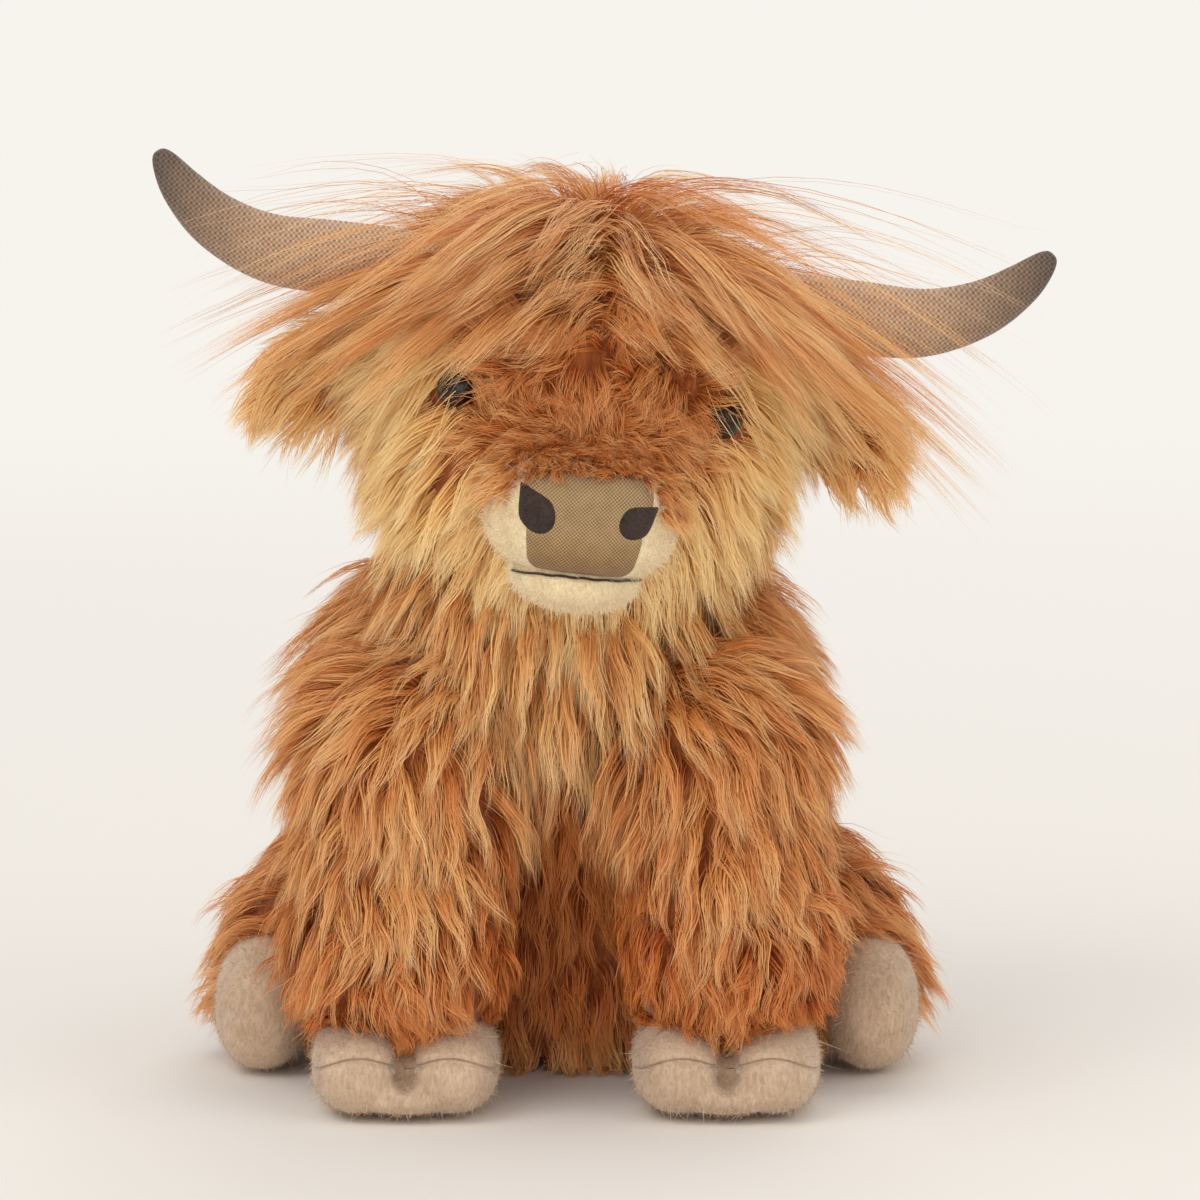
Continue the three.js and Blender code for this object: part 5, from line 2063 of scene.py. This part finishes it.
@dataclass
class FrontLeg(Leg):
    """A straight front leg with a furry shoulder and a cloven hoof of short plush."""

    kind: str = "front"
    seed: int = 40
    outs: Sequence[float] = (46, 48, 50, 50)
    backs: Sequence[float] = (-36, -43, -47, -47)
    heights: Sequence[float] = (109, 80, 50, 21)
    half_widths: Sequence[float] = (32, 33, 35, 34)
    half_depths: Sequence[float] = (32, 34, 36, 34)
    shoulder: float = 31.0
    toe_spread: float = 14.0
    toe_run: tuple[float, float] = (-22, -86)
    toe_half_width: float = 16.4
    toe_half_height: float = 15.5
    toe_height: float = 15.0
    toe_full: float = 2.6
    sole: float = 14.0
    seam_top: float = 21.5
    seam_drop: float = 8.0
    seam_depth: float = 1.2
    cleft_depth: float = 3.2
    # Half the thickness of the dark line of painted seam shadow
    thread: float = 0.28
    off_floor: float = 3.0
    hoof_off_floor: float = 0.5

    def cover(self, shell: Shell) -> None:
        """Sews the leg's fur cloth and its hoof.

        Args:
            shell: Takes their skins for the fur to lie on.
        """
        path = path_through(self.side.value * np.array(self.outs), self.backs, self.heights)
        form = Swell(path, self.half_widths, self.half_depths, start_full=5, end_full=4, sides=56, rings=44)
        self.skin = fused(joined(form.surface(-5, 0), globe(path[0], self.shoulder)), voxel=3, smoothing=5)
        self.skin.keep_above(self.off_floor)
        self.hoof = self.cloven()
        self.dress(shell)
        self.stitch()

    def cloven(self) -> Surface:
        """Two plump toes side by side, gathered along an arched seam.

        Returns:
            The hoof.
        """
        centre = self.side.value * self.outs[-1]
        back, front = self.toe_run
        wide, tall = [self.toe_half_width] * 3, [self.toe_half_height] * 3
        ends = {"start_full": self.toe_full, "end_full": self.toe_full, "sides": 64, "rings": 48}
        toes = []
        for x in (centre - self.toe_spread, centre + self.toe_spread):
            path = path_through(x, (back, (back + front) / 2, front), self.toe_height)
            toes.append(Swell(path, wide, tall, square=2.3, **ends).surface(-1.0))
        low = path_through(centre, (back, (back + front) / 2, front + 2), self.sole / 2 + 1)
        wide, tall = [self.toe_spread + self.toe_half_width * 0.4] * 3, [self.sole / 2] * 3
        toes.append(Swell(low, wide, tall, square=2.2, **ends).surface())
        hoof = fused(joined(*toes), voxel=1.0, smoothing=4)
        x, y, z = hoof.points.T
        groove = self.seam(hoof.points) * ramp(-55, -70, y)
        cleft = np.exp(-(((x - centre) / 2.6) ** 2)) * ramp(8, 15, z) * ramp(-58, -70, y)
        hoof.points -= hoof.normals() * (self.seam_depth * groove + self.cleft_depth * cleft)[:, None]
        hoof.keep_above(self.hoof_off_floor)
        return hoof

    def seam_height(self, out: Array) -> Array:
        """How high the arched seam of a toe runs, where out goes from -1 to 1 across the toe."""
        return self.seam_top - self.seam_drop * out**2

    def seam(self, points: Array) -> Array:
        """Finds how near each point lies to the arched seams over the two toes.

        Args:
            points: The points.

        Returns:
            The nearness, from 0 to 1.
        """
        x, _, z = points.T
        out = (np.abs(x - self.side.value * self.outs[-1]) - self.toe_spread) / self.toe_half_width
        return np.exp(-(((z - self.seam_height(out)) / 0.9) ** 2))

    def stitch(self) -> None:
        """Lays a dark line along the seam over each toe: painted shadow of its crease."""
        tree = self.hoof.tree()
        sign, name = self.side.value, self.side.label
        out = np.linspace(-0.62, 0.9, 60)
        for toe, way in (("outer", sign), ("inner", -sign)):
            x = sign * self.outs[-1] + way * (self.toe_spread + out * self.toe_half_width)
            starts = path_through(x, IN_FRONT, self.seam_height(out))
            hits = [tree.ray_cast(Vector(start), Vector(BACKWARDS))[0] for start in starts]
            line = smoothed(np.array([hit for hit in hits if hit is not None]), 4)
            # The line of painted seam shadow: a thin tube just over the hoof
            thread = tube(line - 0.1 * BACKWARDS, self.thread, 8)
            add_piece(f"toe_seam_{toe}_{name}", thread, SEAM_PAINTED_SHADOW, self.body, "beige_plush")

    def comb(self, roots: Roots) -> Combed:
        """Fur that hangs down the leg and grows shorter and redder towards the hoof, with painted shade on
        its inner side and on the left leg.

        Args:
            roots: The pile's roots.

        Returns:
            How the pile lies.
        """
        x, y, z = roots.places.T
        inner = ramp(44, 26, self.side.value * x) * ramp(106, 84, z)
        away = np.stack([(x - self.side.value * 50) * (1 - 1.15 * inner), y + 44], 1)
        direction = np.concatenate([away * 0.014, np.full((len(x), 1), -1.0)], 1)
        curly = ramp(95, 60, z)
        direction += swirls(roots.places, 10.0) * ((0.45 + 0.55 * curly) * (1 - inner))[:, None]
        high = ramp(105, 130, z)
        direction[:, 0] += self.side.value * high * 0.8
        direction[:, 2] += high * 0.45
        length = np.clip(0.85 * (z - 15), 0, 35) + 3 * high
        length = length * (z > 19) * (1 - 0.4 * inner) * (1 - 0.3 * ramp(50, 80, x)) * (1 - 0.12 * curly)
        # The tone is darker by 0.3 on the leg's inner side: painted shade between the legs
        tone = 0.55 - 0.54 * ramp(84, 36, z) + 0.1 * ramp(-60, -80, y) - 0.3 * inner
        # The toy's left leg is darker by 0.1: painted shade of the side away from the key light
        if self.side is Side.LEFT:
            tone = tone - 0.1
        lift = 0.34 + 0.25 * high + 0.28 * curly - 0.3 * inner
        return combed(direction, length, lift, stand=5.5 - 3 * inner, tone=tone, wave=1.8 + 0.8 * curly)

    def nap(self, roots: Roots) -> Combed:
        """Short plush that lies downwards on the hoof, lighter where it faces up as painted light and
        darker where it faces down as painted shade.

        Args:
            roots: The pile's roots.

        Returns:
            How the pile lies.
        """
        down = np.tile([0.0, -0.2, -1.0], (len(roots.places), 1))
        length = np.where((roots.places[:, 2] < 1.5) | (self.seam(roots.places) > 0.2), 0.0, 1.5)
        # The tone rises with the skin's upward facing: painted light on the hoof's top and painted shade
        # under it
        return combed(down, length, lift=0.9, stand=1.0, tone=0.5 + 0.12 * roots.facing[:, 2], wave=0.0)


@dataclass
class RearLeg(Leg):
    """A folded rear leg whose haunch spreads sideways to a smooth oval hoof."""

    kind: str = "rear"
    seed: int = 50
    outs: Sequence[float] = (65, 80, 94)
    backs: Sequence[float] = (40, 28, 12)
    heights: Sequence[float] = (44, 34, 25)
    half_heights: Sequence[float] = (31, 30, 18)
    half_depths: Sequence[float] = (31, 27, 22)
    hip: float = 31.0
    hoof_out: float = 96.8
    hoof_run: Sequence[float] = (34, 8, -18)
    hoof_half_width: float = 16.2
    hoof_half_height: float = 22.0
    hoof_height: float = 21.5
    off_floor: float = 2.0
    hoof_off_floor: float = 0.5

    def cover(self, shell: Shell) -> None:
        """Sews the haunch's fur cloth and its hoof.

        Args:
            shell: Takes their skins for the fur to lie on.
        """
        sign = self.side.value
        path = path_through(sign * np.array(self.outs), self.backs, self.heights)
        sizes = (self.half_heights, self.half_depths)
        form = Swell(path, *sizes, UPWARDS, start_full=5, end_full=3, sides=56, rings=44)
        self.skin = fused(joined(form.surface(-2, 3.5), globe(path[0], self.hip)), voxel=3, smoothing=5)
        self.skin.keep_above(self.off_floor)
        line = path_through(sign * self.hoof_out, self.hoof_run, self.hoof_height)
        sizes = ([self.hoof_half_width] * 3, [self.hoof_half_height] * 3)
        form = Swell(line, *sizes, start_full=2.4, end_full=2.4, square=2.2, sides=72, rings=52)
        self.hoof = form.surface(-1.0)
        self.hoof.keep_above(self.hoof_off_floor)
        self.bare = [BareSpot((sign * self.hoof_out, -22, self.hoof_height), (13, 22, 19), 0.0)]
        self.dress(shell)

    def comb(self, roots: Roots) -> Combed:
        """Fur that runs outwards and down round the hoof.

        Args:
            roots: The pile's roots.

        Returns:
            How the pile lies.
        """
        x, y, z = roots.places.T
        sign = self.side.value
        direction = np.stack([np.full(len(x), sign * 0.8), (y - 20) * 0.012, np.full(len(x), -0.9)], 1)
        direction += 0.4 * swirls(roots.places, 12.0)
        length = np.clip(z * 0.9, 0, 27) * (z >= 6)
        tone = 0.42 - 0.12 * ramp(40, 12, z)
        return combed(direction, length, lift=0.36, stand=5.0, tone=tone, wave=1.7)

    def nap(self, roots: Roots) -> Combed:
        """Short plush that lies downwards on the hoof.

        Args:
            roots: The pile's roots.

        Returns:
            How the pile lies.
        """
        down = np.tile(-UPWARDS, (len(roots.places), 1))
        length = np.where(roots.places[:, 2] < 1.5, 0.0, 1.5)
        return combed(down, length, lift=0.9, stand=1.0, tone=0.55, wave=0.0)


@dataclass
class Tail:
    """A short tail that hangs behind the seat, with a tuft at its end."""

    backs: Sequence[float] = (88, 103, 108, 109)
    heights: Sequence[float] = (64, 58, 44, 30)
    radii: Sequence[float] = (7, 7, 6.5, 6)
    tuft: Sequence[float] = (40, 24, 7)
    tuft_radii: Sequence[float] = (9, 12, 8)
    skin: Surface | None = None
    end: Surface | None = None

    def cover(self, shell: Shell) -> None:
        """Sews the tail.

        Args:
            shell: Takes its skins for the fur to lie on.
        """
        path = path_through(0, self.backs, self.heights)
        self.skin = Swell(path, self.radii, self.radii, start_full=3, sides=28, rings=28).surface(-1.5)
        line = path_through(0, self.backs[-1], self.tuft)
        self.end = Swell(line, self.tuft_radii, self.tuft_radii, sides=28, rings=24).surface(-4)
        covers = (("tail_cloth", self.skin, "tail"), ("tail_end_cloth", self.end, "tail_tuft"))
        for name, surface, node in covers:
            shell.add("tail", surface)
            add_piece(name, surface, FUR_CLOTH, "tail", "orange_fur", [node])

    def comb(self, roots: Roots) -> Combed:
        """Fur that hangs along the tail.

        Args:
            roots: The pile's roots.

        Returns:
            How the pile lies.
        """
        down = np.tile([0.0, 0.12, -1.0], (len(roots.places), 1))
        length = np.clip(roots.places[:, 2] - 3, 4, 24)
        tone = 0.6 + 0.3 * ramp(45, 25, roots.places[:, 2])
        return combed(down, length, lift=0.22, stand=2.5, tone=tone, wave=1.2)

    def grow(self, shell: Shell) -> None:
        """Grows the tail's fur."""
        for name, skin, seed in (("tail_fur", self.skin, 61), ("tail_tuft_fur", self.end, 62)):
            Coat(name, "tail", "orange_fur", skin, self.comb, per_cm2=6.0, seed=seed).build(shell)


@dataclass
class Insides:
    """The parts under the skins, which keep their solids and get their own finishes."""

    middle: Sequence[str] = ("torso", "neck", "head")
    limbs: Sequence[str] = ("horn", "front_leg", "rear_leg")

    def dress(self) -> None:
        """Gives each inner solid its finish."""
        for name in self.middle:
            self.wear(f"{name}_stuffing", FILLING)
        self.wear("pellet_pouch", POUCH_CLOTH)
        self.wear("neck_seam_thread", FUR_CLOTH)
        for side in Side:
            self.wear(f"eye_washer_{side.label}", WASHER_PLASTIC)
            for name in self.limbs:
                self.wear(f"{name}_stuffing_{side.label}", FILLING)

    def wear(self, name: str, finish: Finish) -> None:
        """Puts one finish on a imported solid.

        Args:
            name: The solid's name.
            finish: Its finish.
        """
        solid = bpy.data.objects[name]
        material = worn(finish)
        if not solid.material_slots:
            solid.data.materials.append(material)
        for slot in solid.material_slots:
            slot.material = material


@dataclass(frozen=True)
class Lamp:
    """A soft square lamp, placed in metres."""

    name: str
    place: tuple[float, float, float]
    size: float
    power: float

    def light(self, aim: Sequence[float]) -> None:
        """Adds the lamp, pointed at a place.

        Args:
            aim: The place, in metres.
        """
        light = bpy.data.lights.new(self.name, "AREA")
        light.size = self.size
        light.energy = self.power
        lamp = bpy.data.objects.new(self.name, light)
        lamp.location = self.place
        lamp.rotation_euler = (Vector(aim) - lamp.location).to_track_quat("-Z", "Y").to_euler()
        bpy.context.scene.collection.objects.link(lamp)


@dataclass
class Studio:
    """The pale floor, the soft lights and the camera."""

    ground: Colour = (0.930, 0.898, 0.850)
    floor_radii: tuple[float, float] = (500, 6000)
    floor_fade: tuple[float, float] = (0.45, 1.6)
    daylight: Colour = (1.0, 0.98, 0.95)
    daylight_strength: float = 0.63
    lamps: tuple[Lamp, ...] = (
        Lamp("key_light", place=(-0.9, -1.1, 1.5), size=1.1, power=9.0),
        Lamp("fill_light", place=(1.2, -1.0, 0.9), size=1.3, power=4.2),
        Lamp("front_light", place=(-0.2, -1.7, 0.5), size=1.0, power=4.6),
        Lamp("back_light", place=(0.3, 1.2, 1.4), size=1.0, power=6.0),
    )
    lamp_aim: tuple[float, float, float] = (0, 0, 0.13)
    aim: Sequence[float] = (10.6, -40.0, 158.4)
    distance: float = 3000.0
    elevation: float = 9.0
    lens: float = 289.0

    def build(self) -> None:
        """Adds the floor, the world, the lamps and the camera."""
        self.floor()
        self.world()
        for lamp in self.lamps:
            lamp.light(self.lamp_aim)
        self.camera()

    def floor(self) -> None:
        """A round floor that keeps the shadow and fades into the background."""
        sides = 96
        ring = np.stack([np.cos(turns(sides)), np.sin(turns(sides))], 1)
        places = np.concatenate([[[0, 0]], *(radius * ring for radius in self.floor_radii)])
        points = np.concatenate([places, np.zeros((len(places), 1))], 1)
        disc = Surface(points, disc_faces(sides, len(self.floor_radii))).flipped()
        ground = bpy.data.objects.new("floor", blender_mesh("floor", disc, smooth=False))
        ground.data.materials.append(self.ground_material())
        bpy.context.scene.collection.objects.link(ground)

    def ground_material(self) -> Material:
        """Plain cloth that turns into the background's colour far from the toy, for the camera alone.

        Returns:
            The material.
        """
        material = bpy.data.materials.new("floor")
        material.use_nodes = True
        nodes = Nodes(material.node_tree)
        nodes.tree.nodes.clear()
        length = nodes.add("ShaderNodeVectorMath", operation="LENGTH")
        nodes.join(nodes.place(), length.inputs[0])
        near, far = self.floor_fade
        fade = nodes.add("ShaderNodeMapRange", interpolation_type="SMOOTHSTEP", in_1=near, in_2=far)
        nodes.join(length.outputs["Value"], fade.inputs[0])
        camera = nodes.add("ShaderNodeLightPath").outputs["Is Camera Ray"]
        cloth = nodes.add("ShaderNodeBsdfDiffuse", in_0=(*self.ground, 1))
        glow = nodes.add("ShaderNodeEmission", in_0=(*self.ground, 1), in_1=1.0)
        both = nodes.shared(nodes.math("MULTIPLY", fade.outputs[0], camera), cloth, glow)
        nodes.join(both, nodes.add("ShaderNodeOutputMaterial").inputs[0])
        return material

    def world(self) -> None:
        """Even pale light from all round, and the background that the camera sees."""
        world = bpy.data.worlds.new("studio")
        world.use_nodes = True
        nodes = Nodes(world.node_tree)
        nodes.tree.nodes.clear()
        path = nodes.add("ShaderNodeLightPath")
        seen = nodes.math("MAXIMUM", path.outputs["Is Camera Ray"], path.outputs["Is Glossy Ray"])
        light = nodes.add("ShaderNodeBackground", in_0=(*self.daylight, 1), in_1=self.daylight_strength)
        back = nodes.add("ShaderNodeBackground", in_0=(*self.ground, 1), in_1=1.0)
        nodes.join(nodes.shared(seen, light, back), nodes.add("ShaderNodeOutputWorld").inputs[0])
        bpy.context.scene.world = world

    def camera(self) -> None:
        """Places the camera a little above the toy's front."""
        data = bpy.data.cameras.new("camera")
        data.lens = self.lens
        camera = bpy.data.objects.new("camera", data)
        lean = math.radians(self.elevation)
        aim = (np.array(self.aim) + SHIFT) * MM
        away = np.array([0, -math.cos(lean), math.sin(lean)]) * self.distance * MM
        camera.location = aim + away
        camera.rotation_euler = (math.pi / 2 - lean, 0, 0)
        bpy.context.scene.collection.objects.link(camera)
        bpy.context.scene.camera = camera
        bpy.context.scene.view_settings.view_transform = "Standard"


def main() -> None:
    """Builds the toy piece by piece, then the studio round it."""
    logging.basicConfig(level=logging.INFO, format="%(message)s", force=True)
    Studio().build()
    shell, face = Shell(), Face()
    parts = [Torso(), Head(), face, Tail()]
    for side in Side:
        parts += [FrontLeg(side), RearLeg(side), Ear(side)]
    for part in parts:
        part.cover(shell)
    for side in Side:
        Horn(side).cover(shell)
    face.dress()
    Insides().dress()
    for part in parts:
        part.grow(shell)


if __name__ == "__main__":
    main()
